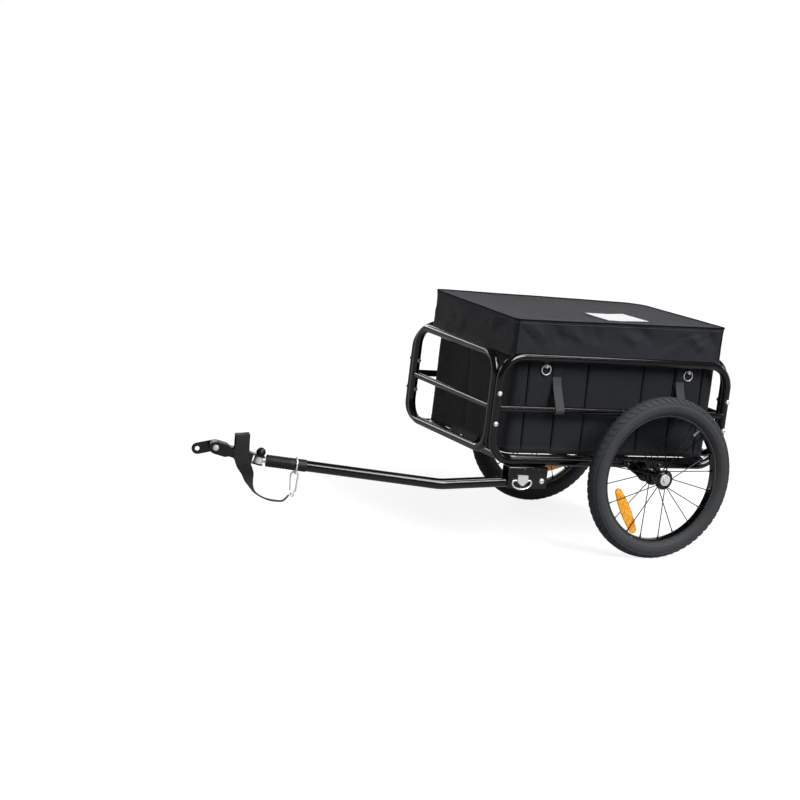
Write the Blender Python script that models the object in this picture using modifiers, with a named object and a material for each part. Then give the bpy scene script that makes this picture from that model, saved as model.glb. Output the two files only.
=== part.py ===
"""Bike cargo trailer: bent-tube frame, two quick-release wheels, folding drawbar, fabric box and fitted cover.

Metres. +X points forward, +Y to the trailer's left, +Z up. The origin is on the ground, under the middle of the
trailer's length. The sizes below along X are counted from the wheel axis.
"""
import math

import bmesh
import bpy
from mathutils import Matrix, Vector

# Clearances
GAP = 0.0003
RUNNING_GAP = 0.0004
SEAM_BITE = 0.0004
HOLE_CLEARANCE = 0.0003
HOLE_STEPS = 10
CUT_PAST = 0.01
EDGE_BREAK = 0.001

# Wheels
TYRE_RADIUS = 0.203
TYRE_WIDTH = 0.046
TYRE_WALL = 0.004
TYRE_LINING_STEP = 50
WHEEL_STEPS = 32
RIM_WIDTH = 0.024
RIM_DEPTH = 0.0054
RIM_WALL = 0.0025
WHEEL_OUTSET = 0.075
AXLE_RADIUS = 0.005
AXLE_HEAD_RADIUS = 0.0142
AXLE_HEAD_THICKNESS = 0.0035
AXLE_PAST_SLEEVE = 0.002
HEAD_WEB = 0.0008
BUTTON_RADIUS = 0.006
BUTTON_STAND = 0.0025
BUTTON_EDGE = 0.0006
BUTTON_TRAVEL = 0.002
HUB_LENGTH = 0.0575
HUB_OUTBOARD = 0.0235
HUB_SHELL_RADIUS = 0.0155
HUB_LIP = 0.002
HUB_FLANGE_RADIUS = 0.025
HUB_FLANGE_THICKNESS = 0.003
HUB_FLANGE_INSET = 0.002
HUB_STEPS = 20
BEARING_RADIUS = 0.011
BEARING_WIDTH = 0.007
BEARING_INSET = 0.001
SPOKE_COUNT = 20
SPOKE_RADIUS = 0.001
SPOKE_CIRCLE = 0.0205
SPOKE_BITE = 0.0005
SPOKE_TIP_GAP = 0.00045
SPOKE_STAGGER = 0.003
SPOKE_LACING = math.radians(18)
SPOKE_PHASE = math.radians(-7)
VALVE_ANGLE = math.radians(128)
VALVE_RADIUS = 0.0032
VALVE_LENGTH = 0.030
TUBE_FACETS = 6
REFLECTOR_ANGLES = {"left": math.radians(-45), "right": math.radians(-117)}
REFLECTOR_TILT = math.radians(14)
REFLECTOR_LENGTH = 0.130
REFLECTOR_WIDTH = 0.025
REFLECTOR_THICKNESS = 0.0060
REFLECTOR_INSET = 0.0347

# Axle sleeves and plates
SLEEVE_RADIUS = 0.0072
SLEEVE_INSET = 0.017
PLATE_THICKNESS = 0.004
PLATE_TOP = 0.011
PLATE_EDGE = 0.012
PLATE_FRONT = 0.068
PLATE_REAR = -0.048
PLATE_BOSS = 0.024
PLATE_BOLT_INSET = 0.012

# Frame loops, counted from the box that stands in them and from the wheel axis
TUBE_RADIUS = 0.010
LOOP_OUTSET = 0.026
LOOP_AHEAD = 0.054
LOOP_BEHIND = 0.021
LOOP_RISE = 0.0175
LOOP_HEIGHT = 0.2555
LOOP_BEND = 0.058
END_LOOP_LEAD = 0.004
END_LOOP_RISE = 0.0185
END_LOOP_DROP = 0.001
END_LOOP_BEND = 0.050
MID_BAR_RISE = 0.1285
SIDE_MID_RADIUS = 0.0085
END_MID_RADIUS = 0.008
FLOOR_RISE = 0.004
FLOOR_AHEAD = 0.007
FLOOR_BEHIND = 0.001
FLOOR_BEND = 0.032
CROSS_BARS = (0.035, 0.205)
CROSS_BAR_RADIUS = 0.008

# Fasteners
BOLT_SPREAD = 0.074
BOLT_RADIUS = 0.0025
BOLT_HEAD_RADIUS = 0.006
BOLT_HEAD_HEIGHT = 0.0035
BOLT_TIP = 0.0005
CORNER_NUT_RADIUS = 0.0055
CORNER_NUT_HEIGHT = 0.004
TAB_INSET = 0.025
TAB_WIDTH = 0.024
TAB_THICKNESS = 0.003
TAB_REACH = 0.012
TAB_CORNER = 0.002

# Drawbar, counted from the frame's front and from its pivot
DRAWBAR_RADIUS = 0.0130
PIVOT_BEHIND = 0.1422
PIVOT_DROP = 0.0453
PIVOT_RADIUS = 0.004
PIVOT_HEAD_RADIUS = 0.0068
PIVOT_NUT_RADIUS = 0.0075
PIVOT_NUT_HEIGHT = 0.005
DRAWBAR_TAIL = 0.013
DRAWBAR_RUN = 0.2697
DRAWBAR_FALL = 0.0142
DRAWBAR_BEND_RADIUS = 0.090
DRAWBAR_SWEEP = math.radians(16.8)
DRAWBAR_RISE = math.radians(2.9)
DRAWBAR_REACH = 0.390
BRACKET_AHEAD = 0.0942
BRACKET_BEHIND = 0.0143
BRACKET_DROP = 0.0182
BRACKET_WALL = 0.0025
BRACKET_PLAY = 0.0008
RIVET_INSETS = (0.025, 0.040, 0.0645)
RIVET_DROP = 0.0185
RIVET_HEAD_RADIUS = 0.0035
RIVET_HEAD_HEIGHT = 0.0018
LOCK_PIN_AHEAD = 0.0572
LOCK_PIN_RISE = 0.0023
LOCK_PIN_RADIUS = 0.004
LOCK_HEAD_WIDTH = 0.028
LOCK_HEAD_HEIGHT = 0.025
LOCK_HEAD_THICKNESS = 0.008
LOCK_SOCKET_DEPTH = 0.006
LOCK_PIN_BITE = 0.002
RING_WIRE = 0.0022
RING_BEND = 0.006
RING_HALF_WIDTH = 0.0265
RING_DROP = 0.0215

# Hitch, counted along the drawbar's front part
SLEEVE_LAP = 0.065
SLEEVE_OVERHANG = 0.031
SLEEVE_OUTER = 0.0145
SLEEVE_LIP = 0.0008
SLEEVE_LIP_LENGTH = 0.002
HITCH_PIN_LEAD = 0.0175
HITCH_PITCH = math.radians(9)
TONGUE_RADIUS = 0.0062
TONGUE_SOCKET = 0.026
TONGUE_BITE = 0.004
EYE_RADIUS = 0.0115
EYE_HEIGHT = 0.0165
HITCH_PIN_RADIUS = 0.004
KNOB_RADIUS = 0.0115
KNOB_RISE = 0.0063
KNOB_NECK = 0.0055
PIN_PAST_YOKE = 0.0015
YOKE_WIDTH = 0.026
YOKE_PLATE = 0.003
YOKE_FORK = 0.0175
YOKE_LENGTH = 0.073
YOKE_NOSE_HEIGHT = 0.023
YOKE_TAPER = 0.016
YOKE_TAPER_RISE = 0.003
YOKE_CHEEK = 0.002
STUD_RADIUS = 0.005
STUD_LENGTH = 0.014
STUD_BITE = 0.004
COUPLER_LENGTH = 0.048
COUPLER_HEIGHT = 0.0295
COUPLER_WIDTH = 0.032
COUPLER_SHOULDERS = (0.006, 0.008)
COUPLER_BOLT_HEAD = 0.004
MOUNT_PLATE_LENGTH = 0.068
MOUNT_PLATE_HEIGHT = 0.027
MOUNT_PLATE_TILT = math.radians(28)
MOUNT_PLATE_THICKNESS = 0.004
MOUNT_HOLE_RADIUS = 0.0055
STRAP_THICKNESS = 0.0020
STRAP_WIDTH = 0.034
STRAP_PLACE = 0.040
STRAP_TOP = 0.047
STRAP_PLAY = 0.0015
STRAP_CORNER = 0.004
STRAP_RING_INSET = 0.024
STRAP_RING_RADIUS = 0.0192
STRAP_RING_WIRE = 0.002
HOOK_WIRE = 0.0021
HOOK_LENGTH = 0.050
HOOK_WIDTH = 0.017
HOOK_NOSE = 0.006
HOOK_FOOT = 0.001
GATE_PLAY = 0.0009
HOOK_EYE_RADIUS = 0.005
HOOK_EYE_BORE = 0.0026
HOOK_EYE_WIDTH = 0.010

# Fabric box and cover
BOX_FRONT = 0.388
BOX_REAR = -0.196
BOX_HALF_WIDTH = 0.196
BOX_WALL = 0.004
BOX_CORNER = 0.020
COVER_AHEAD = 0.020
COVER_BEHIND = 0.008
COVER_PLAY = 0.012
COVER_RISE = 0.095
COVER_DROP = 0.006
COVER_WALL = 0.003
COVER_CORNER = 0.016
COVER_EDGE = 0.005
COVER_SAG = 0.004
STUD_INSETS = (0.083, 0.086)
STUD_DROP = 0.0235
STUD_BASE_THICKNESS = 0.0012
STUD_POST_RADIUS = 0.002
STUD_POST_LENGTH = 0.0060
STUD_HEAD_RADIUS = 0.005
STUD_HEAD_HEIGHT = 0.003
D_RING_RADIUS = 0.0125
D_RING_WIRE = 0.0015
WEBBING_INSETS = (0.118, 0.106)
WEBBING_WIDTH = 0.024
WEBBING_THICKNESS = 0.0015
WEBBING_DROP = 0.044
WEBBING_HEM = 0.012
WEBBING_FOOT = 0.022
FLAP_WIDTH = 0.135
FLAP_THICKNESS = 0.0020
FLAP_RISE = 0.0275
FLAP_HEM = 0.006
FLAP_LAY = 50
FLAP_TUCK = -80
FLAP_STUD_RADIUS = 0.0055
FLAP_STUD_HEIGHT = 0.0025

# Places that follow from those sizes
SIDE_LOOP_Y = BOX_HALF_WIDTH + LOOP_OUTSET
WHEEL_Y = SIDE_LOOP_Y + WHEEL_OUTSET
SLEEVE_START = SIDE_LOOP_Y - SLEEVE_INSET
LOOP_FRONT = BOX_FRONT + LOOP_AHEAD
LOOP_REAR = BOX_REAR - LOOP_BEHIND
LOOP_BOTTOM = TYRE_RADIUS + LOOP_RISE
LOOP_TOP = LOOP_BOTTOM + LOOP_HEIGHT
END_LOOP_BOTTOM = LOOP_BOTTOM + END_LOOP_RISE
END_LOOP_TOP = LOOP_TOP - END_LOOP_DROP
MID_BAR_Z = LOOP_BOTTOM + MID_BAR_RISE
FLOOR_FRONT = BOX_FRONT + FLOOR_AHEAD
FLOOR_REAR = BOX_REAR - FLOOR_BEHIND
PIVOT_X = LOOP_FRONT - PIVOT_BEHIND
PIVOT_Z = LOOP_BOTTOM - PIVOT_DROP
DRAWBAR_BEND_X = PIVOT_X + DRAWBAR_RUN
DRAWBAR_BEND_Z = PIVOT_Z - DRAWBAR_FALL
BRACKET_FRONT = PIVOT_X + BRACKET_AHEAD
BRACKET_REAR = PIVOT_X - BRACKET_BEHIND
BRACKET_BOTTOM = PIVOT_Z - BRACKET_DROP
LOCK_PIN_X = PIVOT_X + LOCK_PIN_AHEAD
LOCK_PIN_Z = PIVOT_Z + LOCK_PIN_RISE
SLEEVE_FROM = DRAWBAR_REACH - SLEEVE_LAP
SLEEVE_TO = DRAWBAR_REACH + SLEEVE_OVERHANG
HITCH_PIN_PLACE = SLEEVE_TO + HITCH_PIN_LEAD
STRAP_RING_PLACE = SLEEVE_FROM + STRAP_RING_INSET
COVER_TOP = LOOP_TOP + COVER_RISE
STUD_PLACES = (BOX_FRONT - STUD_INSETS[0], BOX_REAR + STUD_INSETS[1])
STUD_Z = LOOP_TOP - STUD_DROP
WEBBING_PLACES = (BOX_FRONT - WEBBING_INSETS[0], BOX_REAR + WEBBING_INSETS[1])
FLOOR_Z = LOOP_BOTTOM + FLOOR_RISE
BOX_TOP = COVER_TOP - COVER_SAG - COVER_WALL - GAP
RIGHT_ANGLE = math.pi / 2


def start_collection():
    """Empties the file and makes the collections for the parts and for the cutters."""
    for obj in list(bpy.data.objects):
        bpy.data.objects.remove(obj, do_unlink=True)
    parts = bpy.data.collections.new("bike_cargo_trailer")
    cutters = bpy.data.collections.new("cutters")
    bpy.context.scene.collection.children.link(parts)
    bpy.context.scene.collection.children.link(cutters)
    return parts, cutters


PARTS, CUTTERS = start_collection()


def material(name, colour, roughness, metallic):
    """One plain Principled material."""
    made = bpy.data.materials.new(name)
    made.use_nodes = True
    shader = made.node_tree.nodes["Principled BSDF"]
    shader.inputs["Base Color"].default_value = (*colour, 1.0)
    shader.inputs["Roughness"].default_value = roughness
    shader.inputs["Metallic"].default_value = metallic
    return made


BLACK_PAINT = material("black_powder_coat", (0.012, 0.013, 0.014), 0.35, 0.0)
ZINC = material("zinc_plated_steel", (0.62, 0.62, 0.60), 0.30, 1.0)
RUBBER = material("tyre_rubber", (0.045, 0.047, 0.050), 0.75, 0.0)
BLACK_PLASTIC = material("black_plastic", (0.018, 0.018, 0.019), 0.45, 0.0)
FABRIC = material("coated_polyester", (0.030, 0.032, 0.034), 0.70, 0.0)
WEBBING = material("grey_webbing", (0.060, 0.062, 0.064), 0.80, 0.0)
AMBER = material("amber_reflector", (0.85, 0.42, 0.02), 0.25, 0.0)


BASE = bpy.data.objects.new("under_wheel_axis", None)
PARTS.objects.link(BASE)


def empty(name, parent=None, matrix=None):
    """An empty that carries a moving body, on its joint's axis."""
    made = bpy.data.objects.new(name, None)
    PARTS.objects.link(made)
    made.parent = parent or BASE
    made.matrix_basis = matrix or Matrix.Identity(4)
    return made


def place(mesh_or_curve, name, look, parent=None, matrix=None):
    """An object of the part, in its parent's frame."""
    mesh_or_curve.materials.clear()
    mesh_or_curve.materials.append(look)
    made = bpy.data.objects.new(name, mesh_or_curve)
    PARTS.objects.link(made)
    made.parent = parent or BASE
    made.matrix_basis = matrix or Matrix.Identity(4)
    return made


def evaluated_mesh(obj):
    """The object's mesh with its modifiers applied, as a new mesh."""
    bpy.context.view_layer.update()
    graph = bpy.context.evaluated_depsgraph_get()
    return bpy.data.meshes.new_from_object(obj.evaluated_get(graph))


def smooth(mesh):
    """Smooth faces with sharp edges at real corners."""
    mesh.shade_smooth()
    mesh.set_sharp_from_angle(angle=math.radians(35))
    return mesh


def mesh_from(bm, weld=0.00001):
    """A mesh from a bmesh, with its doubles merged and its faces pointing out."""
    bmesh.ops.remove_doubles(bm, verts=bm.verts, dist=weld)
    bmesh.ops.recalc_face_normals(bm, faces=bm.faces)
    mesh = bpy.data.meshes.new("shape")
    bm.to_mesh(mesh)
    bm.free()
    return smooth(mesh)


def turned(profile, steps, ring=False):
    """A turned mesh about Z. The profile runs down its outer side at +X; a ring's profile closes on itself."""
    mesh = bpy.data.meshes.new("profile")
    edges = [(i, i + 1) for i in range(len(profile) - 1)]
    if ring:
        edges.append((len(profile) - 1, 0))
    mesh.from_pydata([(r, 0.0, h) for r, h in profile], edges, [])
    guide = bpy.data.objects.new("profile", mesh)
    CUTTERS.objects.link(guide)
    screw = guide.modifiers.new("turn", "SCREW")
    screw.axis = "Z"
    screw.steps = steps
    screw.render_steps = steps
    screw.use_merge_vertices = True
    screw.merge_threshold = 0.00001
    made = evaluated_mesh(guide)
    bpy.data.objects.remove(guide, do_unlink=True)
    bm = bmesh.new()
    bm.from_mesh(made)
    return mesh_from(bm)


def disc(radius, low, high, steps, bevel=0.0):
    """A turned cylinder from low to high, with its outer corners broken by bevel."""
    profile = [(0.0, high), (radius - bevel, high), (radius, high - bevel), (radius, low), (0.0, low)]
    if bevel == 0.0:
        profile = [(0.0, high), (radius, high), (radius, low), (0.0, low)]
    return turned(profile, steps)


def pipe(inner, outer, low, high, steps):
    """A turned ring with a plain bore."""
    return turned([(inner, high), (outer, high), (outer, low), (inner, low)], steps, ring=True)


def along(direction, start):
    """A matrix that lays a turned shape's Z along a direction, from a start point."""
    turn = Vector((0, 0, 1)).rotation_difference(Vector(direction).normalized()).to_matrix().to_4x4()
    return Matrix.Translation(Vector(start)) @ turn


def rod_mesh(start, end, radius, sides):
    """A straight round bar between two points."""
    run = Vector(end) - Vector(start)
    mesh = disc(radius, 0.0, run.length, sides)
    mesh.transform(along(run, start))
    return mesh


def group(meshes):
    """Several meshes in one."""
    bm = bmesh.new()
    for mesh in meshes:
        bm.from_mesh(mesh)
    made = bpy.data.meshes.new("group")
    bm.to_mesh(made)
    bm.free()
    return smooth(made)


def moved(mesh, matrix):
    """A copy of a mesh, moved by a matrix."""
    copy = mesh.copy()
    copy.transform(matrix)
    return copy


def tube_curve(points, radius, cyclic, resolution):
    """A round tube along points, as a curve with filled caps."""
    curve = bpy.data.curves.new("tube", "CURVE")
    curve.dimensions = "3D"
    curve.bevel_depth = radius
    curve.bevel_resolution = resolution
    curve.use_fill_caps = not cyclic
    spline = curve.splines.new("POLY")
    spline.points.add(len(points) - 1)
    for target, point in zip(spline.points, points):
        target.co = (*point, 1.0)
    spline.use_cyclic_u = cyclic
    return curve


def tube_mesh(points, radius, cyclic=False, resolution=3):
    """The same tube as a closed mesh."""
    guide = bpy.data.objects.new("tube", tube_curve(points, radius, cyclic, resolution))
    CUTTERS.objects.link(guide)
    made = evaluated_mesh(guide)
    bpy.data.objects.remove(guide, do_unlink=True)
    bm = bmesh.new()
    bm.from_mesh(made)
    return mesh_from(bm)


def flat_mesh(outline, thickness, holes=()):
    """A flat plate in the XY plane, centred on it, with round holes given as (x, y, radius)."""
    curve = bpy.data.curves.new("outline", "CURVE")
    curve.dimensions = "2D"
    curve.fill_mode = "BOTH"
    curve.extrude = thickness / 2
    loops = [outline]
    for x, y, radius in holes:
        loops.append([(x + radius * math.cos(a), y + radius * math.sin(a)) for a in full_turn(14)])
    for loop in loops:
        spline = curve.splines.new("POLY")
        spline.points.add(len(loop) - 1)
        for target, (x, y) in zip(spline.points, loop):
            target.co = (x, y, 0.0, 1.0)
        spline.use_cyclic_u = True
    guide = bpy.data.objects.new("outline", curve)
    CUTTERS.objects.link(guide)
    made = evaluated_mesh(guide)
    bpy.data.objects.remove(guide, do_unlink=True)
    bm = bmesh.new()
    bm.from_mesh(made)
    return mesh_from(bm)


def full_turn(count):
    """Evenly spaced angles round a full turn."""
    return [2 * math.pi * i / count for i in range(count)]


def arc(cx, cy, radius, start, end, count):
    """Points on an arc, ends included, angles in degrees."""
    angles = [math.radians(start + (end - start) * i / (count - 1)) for i in range(count)]
    return [(cx + radius * math.cos(a), cy + radius * math.sin(a)) for a in angles]


def rounded_rectangle(x0, x1, y0, y1, radius, count=5):
    """The outline of a rectangle with round corners, counter-clockwise."""
    return (arc(x1 - radius, y0 + radius, radius, -90, 0, count)
            + arc(x1 - radius, y1 - radius, radius, 0, 90, count)
            + arc(x0 + radius, y1 - radius, radius, 90, 180, count)
            + arc(x0 + radius, y0 + radius, radius, 180, 270, count))


def strip_mesh(stations, thickness, cyclic=False):
    """A flat strap through stations of (centre, vector across its width)."""
    bm = bmesh.new()
    rings = []
    count = len(stations)
    for i, (centre, across) in enumerate(stations):
        before = stations[(i - 1) % count if cyclic else max(i - 1, 0)][0]
        after = stations[(i + 1) % count if cyclic else min(i + 1, count - 1)][0]
        tangent = (Vector(after) - Vector(before)).normalized()
        across = Vector(across)
        half = (across - tangent * across.dot(tangent)).normalized() * (across.length / 2)
        normal = tangent.cross(half).normalized() * (thickness / 2)
        centre = Vector(centre)
        corners = (centre - half - normal, centre + half - normal,
                   centre + half + normal, centre - half + normal)
        rings.append([bm.verts.new(corner) for corner in corners])
    pairs = list(zip(rings, rings[1:]))
    if cyclic:
        pairs.append((rings[-1], rings[0]))
    for a, b in pairs:
        for k in range(4):
            bm.faces.new((a[k], a[(k + 1) % 4], b[(k + 1) % 4], b[k]))
    if not cyclic:
        bm.faces.new(rings[0])
        bm.faces.new(rings[-1])
    return mesh_from(bm)


def cut(mesh, cutters, operation="DIFFERENCE"):
    """A mesh cut by, or joined to, other meshes."""
    target = bpy.data.objects.new("cut_target", mesh)
    CUTTERS.objects.link(target)
    guides = []
    for cutter in cutters:
        guide = bpy.data.objects.new("cutter", cutter)
        guide.hide_render = True
        guide.display_type = "WIRE"
        CUTTERS.objects.link(guide)
        guides.append(guide)
        boolean = target.modifiers.new("cut", "BOOLEAN")
        boolean.operation = operation
        boolean.solver = "EXACT"
        boolean.object = guide
    made = evaluated_mesh(target)
    for guide in guides + [target]:
        bpy.data.objects.remove(guide, do_unlink=True)
    bm = bmesh.new()
    bm.from_mesh(made)
    return mesh_from(bm, 0.000001)


def box_mesh(low, high, bevel=0.0, segments=2):
    """A box between two corners, with its edges rounded by bevel."""
    bm = bmesh.new()
    bmesh.ops.create_cube(bm, size=1.0)
    low = Vector(low)
    high = Vector(high)
    size = high - low
    for vert in bm.verts:
        vert.co = Vector([low[k] + (vert.co[k] + 0.5) * size[k] for k in range(3)])
    if bevel > 0.0:
        bmesh.ops.bevel(bm, geom=bm.edges, offset=bevel, segments=segments, affect="EDGES", profile=0.5)
    return mesh_from(bm)


def nested_y():
    """Where a loop lies beside the side loop: its tube touches the side tube across the lead."""
    across = 2 * TUBE_RADIUS + GAP
    return SIDE_LOOP_Y - math.sqrt(across ** 2 - END_LOOP_LEAD ** 2)


def floor_y():
    """The floor loop's rails lie against the side loops' bottom tubes, a little higher."""
    across = 2 * TUBE_RADIUS + GAP
    return SIDE_LOOP_Y - math.sqrt(across ** 2 - FLOOR_RISE ** 2)


END_LOOP_Y = nested_y()
FLOOR_Y = floor_y()
FRONT_LOOP_X = LOOP_FRONT + END_LOOP_LEAD
REAR_LOOP_X = LOOP_REAR - END_LOOP_LEAD


def corner_bolt_places():
    """X and Z of the bolts through each corner's two tubes."""
    return [(x, MID_BAR_Z + half * BOLT_SPREAD / 2)
            for x in (LOOP_FRONT + END_LOOP_LEAD / 2, LOOP_REAR - END_LOOP_LEAD / 2)
            for half in (-1, 1)]


def tab_places():
    """X and Y of the tabs that carry the floor loop."""
    return [(x, side * FLOOR_Y)
            for x in (FLOOR_FRONT - TAB_INSET, FLOOR_REAR + TAB_INSET)
            for side in (1, -1)]


def plate_bolt_places():
    """X of the bolts that hold an axle plate to the side tube."""
    return (PLATE_REAR + PLATE_BOLT_INSET, PLATE_FRONT - PLATE_BOLT_INSET)


def through_hole(x, y, z, half_length, radius, axis=(0, 1, 0)):
    """A cutter for a round hole centred on a point."""
    axis = Vector(axis)
    centre = Vector((x, y, z))
    reach = axis * half_length
    return rod_mesh(centre - reach, centre + reach, radius + HOLE_CLEARANCE, HOLE_STEPS)


def build_side_frame(side, name):
    """A bent tube that stands along the trailer's side, with its mid bar and its two tabs welded to it."""
    outline = rounded_rectangle(LOOP_REAR, LOOP_FRONT, LOOP_BOTTOM, LOOP_TOP, LOOP_BEND)
    y = side * SIDE_LOOP_Y
    loop = tube_mesh([(x, y, z) for x, z in outline], TUBE_RADIUS, cyclic=True)
    bar = rod_mesh((LOOP_REAR, y, MID_BAR_Z), (LOOP_FRONT, y, MID_BAR_Z), SIDE_MID_RADIUS, 10)
    top = FLOOR_Z - TUBE_RADIUS - GAP
    pieces = [bar]
    for x, rail_y in tab_places():
        if rail_y * side < 0:
            continue
        low, high = sorted((rail_y - side * TAB_REACH, y - side * TAB_REACH / 4))
        outline = rounded_rectangle(x - TAB_WIDTH / 2, x + TAB_WIDTH / 2, low, high, TAB_CORNER, 3)
        tab = flat_mesh(outline, TAB_THICKNESS)
        pieces.append(moved(tab, Matrix.Translation((0, 0, top - TAB_THICKNESS / 2))))
    welded = cut(loop, pieces, "UNION")
    holes = [through_hole(x, y, z, 2 * TUBE_RADIUS, BOLT_RADIUS) for x, z in corner_bolt_places()]
    place(cut(welded, holes), name, BLACK_PAINT)


def build_end_frame(x, name):
    """A bent tube that stands across the trailer's end, with its mid bar, drilled for the corner bolts."""
    outline = rounded_rectangle(-END_LOOP_Y, END_LOOP_Y, END_LOOP_BOTTOM, END_LOOP_TOP, END_LOOP_BEND)
    loop = tube_mesh([(x, y, z) for y, z in outline], TUBE_RADIUS, cyclic=True)
    bar = rod_mesh((x, -END_LOOP_Y, MID_BAR_Z), (x, END_LOOP_Y, MID_BAR_Z), END_MID_RADIUS, 10)
    holes = [through_hole(bolt_x, side * END_LOOP_Y, z, 2 * TUBE_RADIUS, BOLT_RADIUS)
             for bolt_x, z in corner_bolt_places() if abs(bolt_x - x) < TUBE_RADIUS
             for side in (1, -1)]
    place(cut(cut(loop, [bar], "UNION"), holes), name, BLACK_PAINT)


def build_floor():
    """The flat loop that carries the box, with its cross bars welded in. It lies on the side frames' tabs."""
    outline = rounded_rectangle(FLOOR_REAR, FLOOR_FRONT, -FLOOR_Y, FLOOR_Y, FLOOR_BEND)
    loop = tube_mesh([(x, y, FLOOR_Z) for x, y in outline], TUBE_RADIUS, cyclic=True)
    bars = [rod_mesh((x, -FLOOR_Y, FLOOR_Z), (x, FLOOR_Y, FLOOR_Z), CROSS_BAR_RADIUS, 10) for x in CROSS_BARS]
    place(cut(loop, bars, "UNION"), "floor_frame", BLACK_PAINT)


def dome_bolt(grip, radius, head_radius, head_height, steps):
    """A domed bolt along Z: its head stands above zero and its shank reaches down by its grip."""
    profile = [(0.0, head_height), (head_radius * 0.7, head_height * 0.75), (head_radius, 0.0), (radius, 0.0),
               (radius, -grip), (0.0, -grip)]
    return turned(profile, steps)


def build_corner_bolts():
    """Eight domed bolts through the side frames and the end frames' uprights, each with its nut inside."""
    off_middle = END_LOOP_LEAD / 2
    tube_face = math.sqrt(TUBE_RADIUS ** 2 - off_middle ** 2) + GAP
    seat = SIDE_LOOP_Y + tube_face
    grip = seat - END_LOOP_Y + tube_face
    shank = dome_bolt(grip + CORNER_NUT_HEIGHT, BOLT_RADIUS, BOLT_HEAD_RADIUS, BOLT_HEAD_HEIGHT, 10)
    nut = disc(CORNER_NUT_RADIUS, -grip - CORNER_NUT_HEIGHT + BOLT_TIP, -grip, 6)
    bolt = cut(shank, [nut], "UNION")
    for side, side_name in ((1, "left"), (-1, "right")):
        for x, z in corner_bolt_places():
            end_name = "front" if x > 0 else "rear"
            height_name = "upper" if z > MID_BAR_Z else "lower"
            name = "corner_bolt_" + end_name + "_" + side_name + "_" + height_name
            place(bolt.copy(), name, ZINC, matrix=along((0, side, 0), (x, side * seat, z)))


SLEEVE_END = WHEEL_Y + HUB_OUTBOARD - HUB_LENGTH - RUNNING_GAP


def build_axle_mounts():
    """A plate bolted to each side tube, with its two bolt heads and the welded sleeve that takes the axle."""
    plate_y = SIDE_LOOP_Y + TUBE_RADIUS + GAP + PLATE_THICKNESS / 2
    top = LOOP_BOTTOM + PLATE_TOP
    boss = arc(0.0, TYRE_RADIUS, PLATE_BOSS, -150, -30, 9)
    outline = [(PLATE_REAR, top), (PLATE_REAR, top - PLATE_EDGE)] + boss
    outline += [(PLATE_FRONT, top - PLATE_EDGE), (PLATE_FRONT, top)]
    bore = AXLE_RADIUS + RUNNING_GAP
    head = disc(BOLT_HEAD_RADIUS, -SEAM_BITE, BOLT_HEAD_HEIGHT, 10, BOLT_HEAD_HEIGHT / 2)
    for side, tag in ((1, "left"), (-1, "right")):
        plate = flat_mesh(outline, PLATE_THICKNESS)
        plate.transform(Matrix.Translation((0, side * plate_y, 0)) @ Matrix.Rotation(RIGHT_ANGLE, 4, "X"))
        outward = (0, side, 0)
        sleeve = disc(SLEEVE_RADIUS, SLEEVE_START, SLEEVE_END, HUB_STEPS)
        sleeve.transform(along(outward, (0, 0, TYRE_RADIUS)))
        face = side * (plate_y + PLATE_THICKNESS / 2)
        heads = [moved(head, along(outward, (x, face, LOOP_BOTTOM))) for x in plate_bolt_places()]
        passage = disc(bore, SLEEVE_START - CUT_PAST, SLEEVE_END + CUT_PAST, HUB_STEPS)
        passage.transform(along(outward, (0, 0, TYRE_RADIUS)))
        mesh = cut(cut(plate, [sleeve] + heads, "UNION"), [passage])
        place(mesh, "axle_plate_" + tag, BLACK_PAINT)


def tyre_profile():
    """The tyre's open section, in radius and width, and the radius that its edges stand on."""
    section = TYRE_WIDTH / 2
    middle = TYRE_RADIUS - section
    half = math.degrees(math.asin((RIM_WIDTH / 2 - GAP) / section))
    span = 180 - half
    outer = arc(middle, 0.0, section, span, -span, 11)
    lining = int(round(2 * span / TYRE_LINING_STEP)) + 1
    inner = arc(middle, 0.0, section - TYRE_WALL, -span, span, lining)
    seat = middle - section * math.cos(math.radians(half))
    return outer + inner, seat


def build_wheel(side, tag):
    """Tyre, tube, rim, laced hub, bearings and reflector on one axle with its push button."""
    upright = along((0, side, 0), (0, 0, 0))
    axle = empty("axle_" + tag + "_slide", None, Matrix.Translation((0, side * WHEEL_Y, TYRE_RADIUS)))
    wheel = empty("wheel_" + tag + "_axis", axle)
    profile, seat = tyre_profile()
    place(moved(turned(profile, WHEEL_STEPS, ring=True), upright), "tyre_" + tag, RUBBER, wheel)
    flange = seat - GAP
    bed = flange - RIM_DEPTH
    half = RIM_WIDTH / 2
    inner = half - RIM_WALL - EDGE_BREAK
    rim_profile = [(flange, half), (flange, half - RIM_WALL), (bed + RIM_WALL, inner),
                   (bed + RIM_WALL, -inner), (flange, -half + RIM_WALL), (flange, -half),
                   (bed, -half + RIM_WALL), (bed, half - RIM_WALL)]
    rim = turned(rim_profile, WHEEL_STEPS, ring=True)
    valve_line = Vector((math.cos(VALVE_ANGLE), 0.0, math.sin(VALVE_ANGLE)))
    hole = rod_mesh(valve_line * (bed - CUT_PAST), valve_line * (flange + CUT_PAST),
                    VALVE_RADIUS + HOLE_CLEARANCE, HOLE_STEPS)
    place(cut(moved(rim, upright), [hole]), "rim_" + tag, BLACK_PAINT, wheel)
    build_inner_tube(tag, wheel, upright, valve_line, bed)
    build_hub(side, tag, wheel, upright, bed)
    build_reflector(tag, wheel, bed)
    build_axle(side, tag, axle, upright)


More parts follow.
